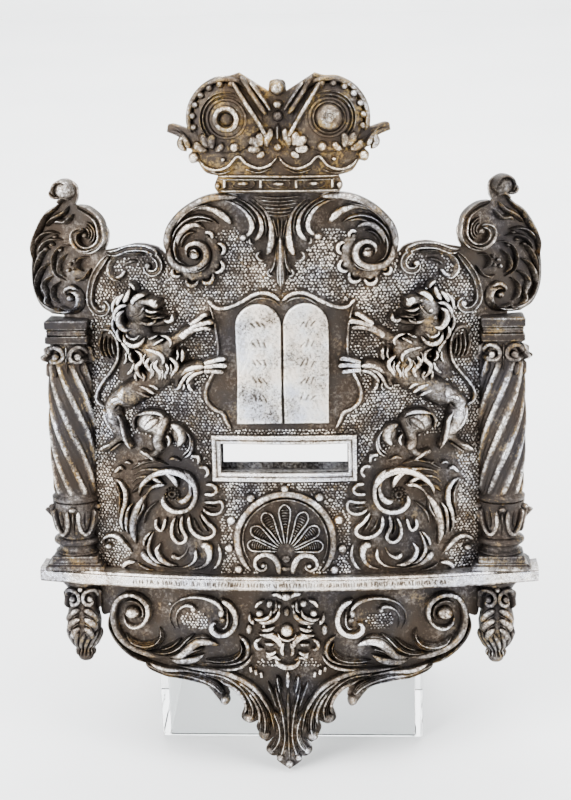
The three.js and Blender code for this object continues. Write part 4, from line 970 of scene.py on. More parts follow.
# Paws: long toes that close on the rim of the field
for points, width in (
    ("45,236 41.2,238.6 37.4,241.4 35.2,241.2", 1.35), ("44.4,234.8 39.4,236.8 34.4,237.8 33,236.6", 1.5),
    ("43.6,233.2 39,234.6 35.4,234.6 34.4,233.4", 1.25), ("50,229.4 46.6,232.2 42,235", 2.1),
    ("38.8,216.6 33.4,218.2 29.2,219 27.8,218", 1.35), ("38.8,214.8 33.4,215.6 28.6,215.6 27.4,214.4", 1.45),
    ("39,213 34,212.8 30,212.4 29,211.2", 1.3),
):
    lion.stroke(points, width, 2.6, BAND, (1, 0.9), lift=3.8)
# Ribs, folds of the thigh, knee and toes
for points, width, height, lift, glow in (
    ("61.8,202.6 64,204.6 67,205.2", 1.1, 1.5, 5.2, 1.1), ("63.6,200.4 67.4,203.2 72,204.8", 1.35, 1.6, 5.5, 1.15),
    ("66.4,198.6 70.4,200.4 74.2,202", 1.1, 1.4, 5.2, 0.9), ("75.4,206.4 79,203 81.4,199.4", 0.6, 1.1, 4, 0.9),
    ("59,188.2 62,190.4 68,190.6 73.4,189", 1.3, 1.3, 5.6, 1), ("61.8,187.6 65.4,185.4 69,181.6", 2.2, 1.2, 6.4, 1),
    ("60,187 61.4,184.4 62.6,183", 0.9, 1.6, 5, 0.9), ("72,190.4 74.8,186.6 74.4,181.6", 0.8, 1.2, 5.2, 0.5),
    ("90.4,192 90,187 87.4,181.6 83,178.6", 1.2, 1.3, 4.4, 1),
    ("84.4,190 81.8,186 80.8,181 79.6,175.6 77,170.8", 1.3, 1.4, 4.6, 1.1),
    ("80.4,196.8 83.6,197.2 87,195", 1.6, 1.5, 5.2, 1.1), ("82,194 83,192 85.4,191", 0.8, 1.2, 5, 0.1),
    ("56.8,184.8 52.6,182.6 51,178 53.4,173.2", 2.6, 2.2, 3.4, 1),
    ("49.6,182 47,178 47.6,172.6 51.6,168.4", 0.7, 1.4, 2.4, 0.8),
    ("58.6,179.6 57,176.6 58.2,173", 0.8, 1.4, 3.6, 0.9), ("87.4,172.8 91.4,171 95,168.2", 1.1, 1.4, 3.6, 1),
    ("72.8,170.8 68.4,168.4 64.4,165.4", 1.2, 1.4, 3.6, 1), ("82.6,173.6 86,171 89.4,168.2", 0.7, 1.2, 3.2, 0.6),
):
    lion.stroke(points, width, height, glow=glow, lift=lift)
# The tail rises behind the back and ends in a leafy tuft
lion.stroke("90.4,191.4 95,194.4 95.2,198.8 92.4,204 87.6,210 84,216 82.9,222 83.8,227.6 87,231.6 90.4,231.8 "
            "92.4,228.8", 1.1, 3.2, RING, (0.9, 0.6))
for points in ("92,229 93,223 90.8,216.6", "90,228.6 90.6,222 88.4,216", "88,228 88.2,221.6 86.4,216.6",
               "86.4,226.6 85.8,221.4 85.2,218"):
    lion.stroke(points, 0.9, 2.8, CREASE, (0.5, 0.8))
# Acanthus below the front foot
for points, width, glow in (
    ("49.4,181 46.6,176 47.4,170 52,166.4", 1.2, 0.8), ("43,165.4 43.4,168.4 46,167.6", 1.1, 1),
    ("52.4,165.4 56,167 59.4,165.8", 1.1, 0.4), ("78.4,162.4 80.6,163.6 82.4,162.2", 0.9, 0.9),
    ("82.4,158.8 84.6,160.2 87,158 88.6,157.4", 1.5, 1), ("70.6,165 73.4,163.2 75.4,164.4", 0.9, 0.5),
):
    lion.stroke(points, width, 3, glow=glow)
relief_piece("lions", lion)

# %% [markdown]
# ## The sheet itself
#
# The plate was sawn out along its outline, with an opening for the name plaque. A constrained
# triangulation fills the outline with an even net of small triangles, so that the bend stays
# smooth. The edge is a little rounded, as a filed edge is. On the back, the chasing shows as soft
# dents wherever the front is raised, because the sheet was pushed out from behind.

# %% Outline, filling and edges
def smooth_runs(*runs):
    """Smooth curves joined at sharp corners: each run starts where the last one ended."""
    line = [np.array(runs[0][:1], float)]
    for run in runs:
        start = line[-1][-1]
        points = np.vstack([start, np.array(run, float)])
        points = points[np.concatenate([[True], np.linalg.norm(np.diff(points, axis=0), axis=1) > 0.01])]
        line.append(through(points, 1.2)[1:] if len(points) > 2 else even(points, 1.6)[1:])
    return np.vstack(line)


def inside(points, loop):
    """Which points lie inside a closed loop."""
    x, z = points[:, :1], points[:, 1:2]
    x0, z0 = loop[:, 0], loop[:, 1]
    x1, z1 = np.roll(x0, -1), np.roll(z0, -1)
    crossing = ((z0 > z) != (z1 > z)) & (x < (x1 - x0) * (z - z0) / np.where(z1 == z0, 1e-9, z1 - z0) + x0)
    return crossing.sum(axis=1) % 2 == 1


def offset_loop(loop, amount):
    """The loop moved to its left by an amount, at every point along the bisector."""
    step = np.roll(loop, -1, axis=0) - np.roll(loop, 1, axis=0)
    step /= np.linalg.norm(step, axis=1)[:, None]
    return loop + amount * np.column_stack([-step[:, 1], step[:, 0]])


def turned_left(loop):
    """The loop with its inside on its left."""
    area = np.sum(loop[:, 0] * np.roll(loop[:, 1], -1) - np.roll(loop[:, 0], -1) * loop[:, 1])
    return loop if area > 0 else loop[::-1]


def cut_sheet(outer, holes, low, high, edge, spacing):
    """A sheet with rounded edges: points (x, z, h), faces, and which points are on its front."""
    loops = [turned_left(outer)] + [turned_left(hole)[::-1] for hole in holes]
    rims = [offset_loop(loop, edge) for loop in loops]
    flat, cuts = [], []
    for rim in rims:
        first = len(flat)
        flat += [Vector(p) for p in rim]
        cuts += [(first + i, first + (i + 1) % len(rim)) for i in range(len(rim))]
    low_x, low_z = outer.min(axis=0)
    high_x, high_z = outer.max(axis=0)
    net = np.array([(x + spacing / 2 * (row % 2), z)
                    for row, z in enumerate(np.arange(low_z, high_z, spacing * 0.87))
                    for x in np.arange(low_x, high_x, spacing)])
    keep = inside(net, offset_loop(loops[0], edge + spacing * 0.45))
    for hole in loops[1:]:
        keep &= ~inside(net, offset_loop(hole, edge + spacing * 0.45)[::-1])
    flat += [Vector(p) for p in net[keep]]
    points, _, triangles, *_ = delaunay_2d_cdt(flat, cuts, [], 0, 1e-6)
    points = np.array([tuple(p) for p in points])
    triangles = np.array(triangles)
    middle = points[triangles].mean(axis=1)
    stay = inside(middle, rims[0])
    for rim in rims[1:]:
        stay &= ~inside(middle, rim)
    front = triangles[stay]
    count = len(points)
    faces = [list(t) for t in front] + [[int(i) + count for i in t[::-1]] for t in front]
    whole = [np.column_stack([points, np.full(count, high)]), np.column_stack([points, np.full(count, low)])]
    total, start = 2 * count, 0
    for loop in loops:
        n = len(loop)
        whole += [np.column_stack([loop, np.full(n, high - edge)]), np.column_stack([loop, np.full(n, low + edge)])]
        rows = [[start + i for i in range(n)], [total + i for i in range(n)], [total + n + i for i in range(n)],
                [count + start + i for i in range(n)]]
        faces += [[a[i], b[i], b[(i + 1) % n], a[(i + 1) % n]]
                  for a, b in zip(rows[:-1], rows[1:]) for i in range(n)]
        total, start = total + 2 * n, start + n
    return np.vstack(whole), faces, count


half_outline = smooth_runs(
    [(0, 0), (6.4, 4.8), (5.6, 7.4)], [(9.4, 7.6), (12.2, 11.4), (7.8, 18)],
    [(12.2, 15.2), (16.9, 22.6), (15.8, 27)], [(20.4, 25.2), (24.8, 28.4), (23, 37), (28.6, 46.4)],
    [(31.4, 44.4), (30.6, 40.6), (34.4, 35), (36.8, 38), (44, 45.4), (60, 50.8)],
    [(72, 54.4), (83, 60), (90, 67.6), (93.6, 80.4)], [(98.4, 79.6), (101, 90), (113, 95)], [(113, 237.8)],
    [(119.6, 238)], [(126.4, 242.6), (130.2, 254), (128.6, 272), (122.4, 286), (113.6, 295)],
    [(113, 298.6), (116, 300.6), (114.4, 305.6), (109, 307.4), (103.4, 304), (103, 298), (104.6, 294.6)],
    [(96, 291.6), (87.8, 283), (87.6, 276.4), (89.4, 272)],
    [(82, 273.6), (72, 276), (62, 274.4), (57.6, 270.4)],
    [(57.4, 277), (50.4, 289.8), (40, 297.6), (28, 301)], [(18, 301)], [(18, 316)], [(0, 316)])


def both_halves(half):
    """The closed outline of both halves, from the right half."""
    return np.vstack([half, (half * [-1, 1])[-2:0:-1]])


def rectangle(half_width, low, high, spacing=2.0):
    """A rectangle round x = 0, with points along its sides."""
    corners = np.array([(-half_width, low), (half_width, low), (half_width, high), (-half_width, high),
                        (-half_width, low)])
    return np.vstack([even(corners[i:i + 2], spacing)[:-1] for i in range(4)])


plate_outline = both_halves(half_outline)
window_hole = rectangle(33.4, 158.9, 176.3)
sheet_points, sheet_faces, front_count = cut_sheet(plate_outline, [window_hole], -SHEET, 0, 0.35, 2.2)
print("plate:", len(sheet_points), "points, front", front_count)

# %% A map of what is raised, for the dents behind and for the pebbles
MAP_STEP = 0.6
MAP_LEFT, MAP_LOW = -135.0, -3.0
MAP_COLUMNS, MAP_ROWS = 450, 610


def on_map(points):
    """Which column and row of the map each point falls in."""
    column = np.clip(((points[:, 0] - MAP_LEFT) / MAP_STEP).astype(int), 0, MAP_COLUMNS - 1)
    row = np.clip(((points[:, 1] - MAP_LOW) / MAP_STEP).astype(int), 0, MAP_ROWS - 1)
    return column, row


raised = np.zeros((MAP_COLUMNS, MAP_ROWS))
raised[on_map(np.vstack(chased))] = 1


def spread(grid, steps):
    """Blurs a map a little, again and again."""
    for _ in range(steps):
        wide = np.pad(grid, 1, mode="edge")
        grid = (wide[1:-1, 1:-1] * 4 + wide[:-2, 1:-1] + wide[2:, 1:-1] + wide[1:-1, :-2] + wide[1:-1, 2:]) / 8
    return grid


near_raised = spread(raised, 2)
dents = spread(raised, 24)
back = slice(front_count, 2 * front_count)
sheet_points[back, 2] += 1.3 * dents[on_map(sheet_points[back])] + 0.05 * np.sin(sheet_points[back, 0] * 1.7) * np.cos(
    sheet_points[back, 1] * 1.3)
sheet_shine = np.zeros(len(sheet_points))
sheet_shine[front_count:] = 0.42
sheet_shine[2 * front_count:] = 0.6
dress("plate_sheet", make_mesh("plate_sheet", lean_back(bend(sheet_points)), sheet_faces, sheet_shine, SHARP_CAST),
      ground_silver, "oxidised_silver", "shield_plate")

# %% [markdown]
# ## The pebbled ground
#
# Between the scrolls the ground is punched all over with a ring punch, which leaves thousands of
# small round pebbles. They catch the light on top and stay black in between. This is the kind of
# repeating work that Geometry Nodes do well: the places are points, one small dome is made from a
# cone, and every dome gets its own size and turn. After the nodes have run, the result becomes a
# plain mesh, which is then bent like everything else.

# %% Where the pebbles go
draw = np.random.default_rng(41)
LEDGE_LOW = 99.0
PITCH = 1.68
seats = np.array([(x + PITCH / 2 * (row % 2), z) for row, z in enumerate(np.arange(40, 302, PITCH * 0.87))
                  for x in np.arange(-112, 112, PITCH)])
seats += draw.uniform(-0.3, 0.3, seats.shape)
free = inside(seats, offset_loop(turned_left(plate_outline), 1.6)) & (near_raised[on_map(seats)] < 0.12)
across_seat, up_seat = np.abs(seats[:, 0]), seats[:, 1]
EVERYWHERE = 999.0
# Plain strips round window, ledge, lower edge, columns and crown: (from, to, low, high)
for near, far, low, high in (
    (-1, 37, 155, 180), (-1, EVERYWHERE, 95.6, 106.6), (-1, EVERYWHERE, -1, 57), (61, EVERYWHERE, -1, 96),
    (24, EVERYWHERE, -1, 74), (98.4, EVERYWHERE, 98, 240), (-1, 34, 296, EVERYWHERE),
):
    free &= ~((across_seat > near) & (across_seat < far) & (up_seat > low) & (up_seat < high))
free &= ~(np.hypot(across_seat, up_seat - 124.5) < 22)
field_half = np.vstack([through(FIELD_RIM), through(FIELD_SIDE)])
free &= ~inside(seats, np.vstack([field_half, (field_half * [-1, 1])[::-1]]))
plain_grounds = (
    [(44, 164), (34, 156), (30, 146), (33, 136), (33, 106), (86, 106), (80, 116), (86, 126), (87, 150), (90, 155),
     (86, 170), (76, 178), (60, 176)],
    [(13, 297), (18, 285), (36, 281), (33, 272), (38, 262), (50, 262), (56, 271), (56, 284), (45, 296), (30, 300)],
    [(-1, 256), (3, 258), (8, 267), (14, 276), (20, 281), (24, 300), (-1, 300)],
    [(97, 236), (97, 262), (88, 262), (86, 296), (131, 308), (131, 236)],
    [(60, 218), (56, 240), (66, 252), (84, 250), (84, 206), (60, 204)],
)
for loop in plain_grounds:
    free &= ~inside(np.column_stack([across_seat, up_seat]), np.array(loop, float))
# On the apron only small patches between the scrolls were pebbled
patch = np.zeros(len(seats), bool)
for x, z, wide, tall in ((47.6, 80.4, 7.6, 5), (29, 66.4, 6.4, 3.6), (64, 88.4, 3.4, 5.4), (11.4, 57, 6, 4)):
    patch |= ((across_seat - x) / wide) ** 2 + ((up_seat - z) / tall) ** 2 < 1
free &= patch | (up_seat > LEDGE_LOW)
seats = seats[free]
print(len(seats), "pebbles")

# %% Grow a dome on every seat with Geometry Nodes
def pebble_tree():
    """Instances a small dome on every point, with its own size and turn."""
    tree = bpy.data.node_groups.new("pebbled ground", "GeometryNodeTree")
    for label, kind in (("Geometry", "Geometry"), ("Radius", "Float"), ("Height", "Float"), ("Seed", "Int"),
                        ("Material", "Material")):
        tree.interface.new_socket(label, in_out="INPUT", socket_type="NodeSocket" + kind)
    tree.interface.new_socket("Geometry", in_out="OUTPUT", socket_type="NodeSocketGeometry")
    given = tree.nodes.new("NodeGroupInput").outputs
    top_radius = node(tree, "ShaderNodeMath", {0: given["Radius"], 1: 0.56}, operation="MULTIPLY").outputs[0]
    dome = node(tree, "GeometryNodeMeshCone", {
        "Vertices": 7, "Side Segments": 1, "Fill Segments": 1, "Radius Top": top_radius,
        "Radius Bottom": given["Radius"], "Depth": given["Height"]}, fill_type="NGON").outputs["Mesh"]
    size = node(tree, "FunctionNodeRandomValue", {2: 0.84, 3: 1.14, "Seed": given["Seed"]},
                data_type="FLOAT").outputs[1]
    turn = node(tree, "FunctionNodeRandomValue", {
        0: (-0.12, -0.12, 0.0), 1: (0.12, 0.12, 6.28), "Seed": given["Seed"]},
        data_type="FLOAT_VECTOR").outputs[0]
    domes = node(tree, "GeometryNodeInstanceOnPoints", {
        "Points": given["Geometry"], "Instance": dome, "Rotation": turn, "Scale": size}).outputs[0]
    real = node(tree, "GeometryNodeRealizeInstances", {"Geometry": domes}).outputs[0]
    named = node(tree, "GeometryNodeSetMaterial", {"Geometry": real, "Material": given["Material"]}).outputs[0]
    end = tree.nodes.new("NodeGroupOutput")
    tree.links.new(named, end.inputs[0])
    return tree


def grow(tree, points, **inputs):
    """Runs a node tree on bare points and gives back the plain mesh."""
    seeds = bpy.data.meshes.new("seats")
    seeds.from_pydata([tuple(p) for p in points], [], [])
    carrier = put("carrier", seeds)
    modifier = carrier.modifiers.new("grow", "NODES")
    modifier.node_group = tree
    sockets = {s.name: s.identifier for s in tree.interface.items_tree if s.in_out == "INPUT"}
    for name, value in inputs.items():
        modifier[sockets[name]] = value
    return take_result(carrier)


PEBBLE_HEIGHT = 0.6


def pebbles(name, where, seed):
    """Grows, bends and dresses the pebbles of one part of the ground."""
    mesh = grow(tree_of_pebbles, np.column_stack([where, np.full(len(where), -0.06)]),
                Radius=0.86, Height=PEBBLE_HEIGHT, Seed=seed, Material=ground_silver)
    place = read_points(mesh, "co")
    # Each pebble is bright on top and dark at its foot: partly the rubbed tops and the blackened ground, partly a
    # painted highlight and painted shade
    shine = 0.9 * np.clip(place[:, 2] / PEBBLE_HEIGHT, 0, 1) ** 1.3
    mesh.vertices.foreach_set("co", lean_back(bend(place)).ravel())
    mesh.attributes.new("shine", "FLOAT", "POINT").data.foreach_set("value", shine.astype(np.float32))
    mesh.shade_smooth()
    return dress(name, mesh, ground_silver, "oxidised_silver", "shield_plate")


tree_of_pebbles = pebble_tree()
pebbles("pebbled_ground", seats[seats[:, 1] > LEDGE_LOW], 7)
pebbles("pebbled_apron", seats[seats[:, 1] < LEDGE_LOW], 8)

# %% [markdown]
# ## The tablets
#
# Two round-topped tablets of plain sheet are soldered on the field. They are the calmest surface
# of the whole shield: burnished, hardly blackened, with fine scratches. The rows of short cuts
# stand for engraving seen from a few steps away, and are no letters. The front is a fine net of
# points, so that the cuts are real grooves and not only a pattern in the colour.

# %% Silvers for the soldered pieces
tablet_silver = chased_silver("silver sheet burnished and worn", "#4b453e", "#8d8881", "#cbc8c3", "#fbfaf8", "#a58a5c",
                              0.0, rub=0.1, dark_rough=0.46, bright_rough=0.3)
bright_silver = chased_silver("silver strip filed and polished", "#453e37", "#7a736b", "#bcb7b1", "#faf8f6", "#94805a",
                              0.05, rub=0.1, dark_rough=0.46, bright_rough=0.24)
column_silver = chased_silver("silver cast and blackened", "#363230", "#494441", "#6c6763", "#dedbd7", "#7a6848",
                              0.12, rub=-0.16)
crown_silver = chased_silver("silver cast gilt and blackened", "#453d36", "#4f463d", "#75695b", "#e6dfd2", "#927a4c",
                             0.14)


def closed_grid(front, foot):
    """A shell from a grid of front points, walls down to the foot height, and a flat underside."""
    rows, columns, _ = front.shape
    rim = [(0, c) for c in range(columns)] + [(r, columns - 1) for r in range(1, rows)]
    rim += [(rows - 1, c) for c in range(columns - 2, -1, -1)] + [(r, 0) for r in range(rows - 2, 0, -1)]
    edge = [r * columns + c for r, c in rim]
    points = front.reshape(-1, 3)
    low = points[edge].copy()
    low[:, 2] = foot
    count = rows * columns
    faces = [[r * columns + c, r * columns + c + 1, (r + 1) * columns + c + 1, (r + 1) * columns + c]
             for r in range(rows - 1) for c in range(columns - 1)]
    n = len(edge)
    faces += [[edge[i], count + i, count + (i + 1) % n, edge[(i + 1) % n]] for i in range(n)]
    faces.append([count + i for i in reversed(range(n))])
    return np.vstack([points, low]), faces


def cuts_near(x, z, cuts, half_width):
    """How deep in an engraved cut each point lies: 1 in the middle, 0 outside."""
    deepest = np.zeros_like(x)
    for x0, z0, x1, z1 in cuts:
        length = (x1 - x0) ** 2 + (z1 - z0) ** 2
        along = np.clip(((x - x0) * (x1 - x0) + (z - z0) * (z1 - z0)) / length, 0, 1)
        gap = np.hypot(x - x0 - along * (x1 - x0), z - z0 - along * (z1 - z0))
        deepest = np.maximum(deepest, np.clip(1 - gap / half_width, 0, 1))
    return deepest


# %% Two tablets with rows of shallow cuts
TABLET_BOTTOM, TABLET_SPRING, TABLET_OUTER, SLIT = 185.5, 235.2, 23.0, 1.1
ARCH = (TABLET_OUTER - SLIT / 2) / 2
ARCH_MIDDLE = (TABLET_OUTER + SLIT / 2) / 2
ease = 0.5 - 0.5 * np.cos(np.pi * np.linspace(0, 1, 62))
x = np.tile(SLIT / 2 + 2 * ARCH * ease, (156, 1))
top = TABLET_SPRING + np.sqrt(np.clip(ARCH ** 2 - (x - ARCH_MIDDLE) ** 2, 0, None))
z = TABLET_BOTTOM + np.linspace(0, 1, 156)[:, None] * (top - TABLET_BOTTOM)
from_arch = np.where(z > TABLET_SPRING, ARCH - np.hypot(x - ARCH_MIDDLE, z - TABLET_SPRING), 99)
from_edge = np.minimum.reduce([x - SLIT / 2, TABLET_OUTER - x, z - TABLET_BOTTOM, from_arch])
tablets = Relief()
for side in (1, -1):
    marks = []
    for row, height in enumerate((236, 226.4, 217, 208, 199)):
        for k in range(3):
            lean_over = draw.uniform(0.8, 2.0)
            start_x = ARCH_MIDDLE + side * 0.6 - 3.2 + 2.6 * k
            start_z = height - 1.4 + draw.uniform(-0.6, 0.6)
            marks.append((start_x, start_z, start_x + lean_over, start_z + draw.uniform(1.8, 3.6)))
    groove = cuts_near(x, z, marks, 0.62)
    wear = 0.07 * np.sin(x * 0.6 + side) * np.sin(z * 0.23) + 0.03 * np.sin(x * 2.3 + z * 1.1)
    h = 2.2 + wear - 0.7 * np.clip(1 - from_edge / 1.0, 0, 1) ** 2 - 0.4 * groove
    points, faces = closed_grid(np.dstack([x, z, h]), 0.35)
    # The cuts are made darker. Where the face rounds down at the edge, a band just inside is brighter, a painted
    # highlight, and the very edge and the walls are darker, painted shade
    glow = 0.74 + 1.6 * wear - 1.0 * groove ** 0.7 + 0.2 * np.exp(-((from_edge - 0.9) / 0.5) ** 2)
    glow -= 0.5 * np.exp(-(from_edge / 0.35) ** 2)
    rim_count = len(points) - glow.size
    if side < 0:
        points = points * [-1, 1, 1]
        faces = [face[::-1] for face in faces]
    tablets.add(points, faces, np.concatenate([glow.ravel(), np.full(rim_count, 0.1)]), both=False)
relief_piece("engraved_tablets", tablets, tablet_silver, "tablet_silver", "tablets")

# %% The moulded frame of the window
# Each point of the profile: how far out, how high, and its shine, bright on the rounds and dark in the step between
# them, partly polish and blackening, partly a painted highlight and painted shade
FRAME_PROFILE = [(0, 0.35, 0), (0, 2.5, 0.3), (0.35, 2.95, 0.9), (0.9, 3.2, 1), (1.5, 3.2, 0.5), (1.75, 2.85, 0),
                 (2.1, 2.85, 0), (2.35, 3.25, 0.6), (2.9, 3.4, 1), (3.7, 3.35, 1), (4.2, 2.95, 0.7), (4.4, 2.3, 0.2),
                 (4.4, 0.35, 0)]


def frame_round(half_width, low, high, profile, spacing=2.5):
    """A moulding mitred round a rectangular opening, as rings of (x, z, h), faces and shine."""
    loops = []
    for out, h, _ in profile:
        sides = []
        corners = [(-1, -1), (1, -1), (1, 1), (-1, 1), (-1, -1)]
        for (x0, z0), (x1, z1) in zip(corners[:-1], corners[1:]):
            steps = int((2 * half_width if z0 == z1 else high - low) / spacing)
            t = np.linspace(0, 1, steps, endpoint=False)[:, None]
            middle_z, half_high = (low + high) / 2, (high - low) / 2
            a = np.array([x0 * (half_width + out), middle_z + z0 * (half_high + out)])
            b = np.array([x1 * (half_width + out), middle_z + z1 * (half_high + out)])
            sides.append(a + (b - a) * t)
        loop = np.vstack(sides)
        loops.append(np.column_stack([loop, np.full(len(loop), h)]))
    n, rings = len(loops[0]), len(loops)
    faces = [[r * n + i, r * n + (i + 1) % n, (r + 1) % rings * n + (i + 1) % n, (r + 1) % rings * n + i]
             for r in range(rings) for i in range(n)]
    return np.vstack(loops), [face[::-1] for face in faces], np.repeat([p[2] for p in profile], n)


window = Relief()
window.add(*frame_round(32, 160, 175.2, FRAME_PROFILE), both=False)
relief_piece("moulded_window_frame", window, bright_silver, "bright_silver", "window_frame")
channel = frame["nodes"]["plaque_channel"]
channel.data.materials.clear()
channel.data.materials.append(chased_silver("silver sheet folded and oxidised", "#2a2724", "#55514d", "#8d8a85",
                                            "#b5b2ad", "#5f4d33", 0.0, rub=0.2))

# %% [markdown]
# ## The ledge
#
# A bow-fronted strip carries the columns. Its front edge is polished by handling, with a row of
# tiny cuts at half height and a dark step above and below. The brightness of the edge is partly a
# painted highlight, and the dark of the step and of the cuts partly painted shade. It isn't bent
# with the plate, because its front has a curve of its own, so its points are made upright straight
# away.

# %% A bow front with steps and tiny cuts
def outward(points, faces):
    """The faces, turned over if they look inwards."""
    volume = 0.0
    for face in faces:
        a = points[face[0]]
        for i in range(1, len(face) - 1):
            volume += np.dot(a, np.cross(points[face[i]], points[face[i + 1]]))
    return faces if volume > 0 else [face[::-1] for face in faces]


def loft(rings):
    """Closed rings of points, joined one to the next and capped at both ends."""
    count, n, _ = rings.shape
    faces = [[r * n + i, r * n + (i + 1) % n, (r + 1) * n + (i + 1) % n, (r + 1) * n + i]
             for r in range(count - 1) for i in range(n)]
    faces += [list(range(n))[::-1], [(count - 1) * n + i for i in range(n)]]
    points = rings.reshape(-1, 3)
    return points, outward(points, faces)


LEDGE_HALF, LEDGE_HIGH = 129.3, 106.0
strip_rows = np.linspace(100.4, 104.3, 15)
# Each row of the profile: how far back, how high, and shine, bright on the edges and dark in the step, partly a
# painted highlight and painted shade
ledge_profile = [(1.2, LEDGE_LOW, 0.1), (1.2, 99.8, 0.5), (0.5, 99.95, 0.9), (0.1, 100.15, 1)]
ledge_profile += [(0.0, row, 0.8) for row in strip_rows]
ledge_profile += [(0.1, 104.55, 1), (0.5, 104.7, 0.1), (0.5, 104.95, 0.1), (0.9, 105.1, 0.8), (1.2, 105.5, 0.7),
                  (1.35, LEDGE_HIGH, 0.4)]
ledge_cuts = []
here = -80.0
while here < 80:
    here += draw.uniform(0.9, 1.7) if draw.random() > 0.12 else 2.8
    ledge_cuts.append((here, 101.3 + draw.uniform(0, 0.5),
                       here + draw.uniform(-0.5, 0.5), 103.4 - draw.uniform(0, 0.6)))
ledge_x = np.linspace(-LEDGE_HALF, LEDGE_HALF, 860)
ledge_rings, ledge_shine = [], []
cut_grid = cuts_near(np.repeat(ledge_x[:, None], len(strip_rows), 1), np.tile(strip_rows, (len(ledge_x), 1)),
                     ledge_cuts, 0.6)
for i, x_here in enumerate(ledge_x):
    front_y = -6 + 17.6 * (x_here / LEDGE_HALF) ** 2
    end_round = 0.5 * max(0, abs(x_here) - LEDGE_HALF + 0.7)
    back_y = face_depth(x_here) + 0.6
    ring = [(x_here, back_y, LEDGE_LOW)]
    shine_here = [0]
    for k, (inset, height, glow) in enumerate(ledge_profile):
        cut = cut_grid[i, k - 4] if 4 <= k < 4 + len(strip_rows) else 0
        ring.append((x_here, front_y + inset + 0.16 * cut + end_round, height))
        dull = 0.25 * max(0, abs(x_here) - 84) / 45
        shine_here.append(glow * (1 - dull) - 1.1 * cut)
    ring += [(x_here, (front_y + back_y) / 2, LEDGE_HIGH), (x_here, back_y, LEDGE_HIGH)]
    ledge_rings.append(ring)
    ledge_shine += shine_here + [0.25, 0]
ledge_points, ledge_faces = loft(np.array(ledge_rings))
dress("bow_ledge", make_mesh("bow_ledge", lean_back(ledge_points), ledge_faces, ledge_shine, SHARP_CAST),
      bright_silver, "bright_silver", "ledge")

# %% [markdown]
# ## Twisted columns and hanging drops
#
# The columns are half round, cast and soldered on, with a leaf cup below, a shaft of twisted ribs,
# and a capital of two scrolls. One grid of points round the axis makes all the round parts: the
# radius comes from a list of heights and radii, and the ribs add a wave that turns as it rises.
# The carving is drawn on an unrolled cylinder with the same strokes as before, and then rolled up.
# Whatever would come out behind the face of the plate is pushed flat against it.

# %% Round parts and things rolled on them
def against_plate(points):
    """Points behind the face of the plate are moved on to it, a little inside the sheet."""
    out = points.copy()
    out[:, 1] = np.minimum(out[:, 1], np.array([face_depth(x) for x in out[:, 0]]) + 0.5)
    return out


UNROLLED_RADIUS = 11.0


def axis_depth(axis_x):
    """How far back the axis of a column or a drop lies, a little in front of the plate."""
    return face_depth(axis_x) - 1.5


def turned(axis_x, profile, rows, ribs=None, around=120):
    """A turned body: rings round the axis, with ribs that add to the radius."""
    heights, radii = np.array(profile, float).T
    angle = np.linspace(-np.pi, np.pi, around, endpoint=False)
    z = np.repeat(rows[:, None], around, 1)
    radius = np.repeat(np.interp(rows, heights, radii)[:, None], around, 1)
    turn = np.tile(angle, (len(rows), 1))
    wave, shine = ribs(turn, z) if ribs else (0, np.full_like(z, 0.3))
    radius = radius + wave
    axis_y = axis_depth(axis_x)
    rings = np.dstack([axis_x + radius * np.sin(turn), axis_y - radius * np.cos(turn), z])
    points, faces = loft(rings)
    return against_plate(points), faces, shine.ravel()


def roll_up(flat, axis_x, profile):
    """Rolls a flat drawing round the axis of a turned body."""
    heights, radii = np.array(profile, float).T
    angle = flat[:, 0] / UNROLLED_RADIUS
    radius = np.interp(flat[:, 1], heights, radii) + flat[:, 2]
    axis_y = axis_depth(axis_x)
    return against_plate(np.column_stack(
        [axis_x + radius * np.sin(angle), axis_y - radius * np.cos(angle), flat[:, 1]]))


def block(axis_x, levels):
    """A square block with mouldings: (height, half width, reach in front of the axis, shine)."""
    axis_y = axis_depth(axis_x)
    corner, depth_behind, bow = 0.5, 8, 0.15
    rings, shine = [], []
    for height, half, reach, glow in levels:
        ring = [(axis_x - half, axis_y + depth_behind), (axis_x - half, axis_y - reach + corner),
                (axis_x - half + corner, axis_y - reach), (axis_x, axis_y - reach - bow),
                (axis_x + half - corner, axis_y - reach), (axis_x + half, axis_y - reach + corner),
                (axis_x + half, axis_y + depth_behind)]
        rings.append([(x, y, height) for x, y in ring])
        shine += [0, glow, glow, glow, glow, glow, 0]
    points, faces = loft(np.array(rings))
    return against_plate(points), faces, np.array(shine)


def upright_piece(name, parts, side, node_name):
    """Makes collected upright parts a piece; side -1 gives the mirror image on the left."""
    points, faces, shine = parts.whole()
    faces = faces if side > 0 else [face[::-1] for face in faces]
    mesh = make_mesh(name, lean_back(points * [side, 1, 1]), faces, shine, SHARP_CAST)
    dress(name, mesh, column_silver, "column_silver", node_name)


# %% Columns
COLUMN_X = 110.0
SHAFT_LOW, SHAFT_HIGH = 145.2, 214.6
RIBS, TWIST = 9, 150
COLUMN_PROFILE = [(113.4, 11.2), (114.3, 11.7), (115.2, 10.3), (116.4, 9.5), (117.8, 9.8), (118.5, 11.4),
                  (119.4, 12.2), (120.8, 12.3), (121.8, 11.4), (122.2, 9.8), (124, 9.4), (128, 10), (133, 11),
                  (138, 11.8), (141, 12.2), (141.5, 11.2), (142, 12.2), (143.6, 12.4), (144.4, 11.6),
                  (145, 10.6), (148, 10.9), (165, 11.6), (180, 12), (198, 11.5), (212, 10.6), (214.8, 10.4),
                  (215.2, 11.6), (216.2, 12), (217.2, 11.3), (217.8, 9.8), (224, 10.2), (226, 10.6)]
column_rows = np.unique(np.round(np.concatenate([
    np.arange(113.4, 145.2, 0.55), np.arange(145.2, 214.8, 0.8), np.arange(214.8, 226, 0.5)]), 2))


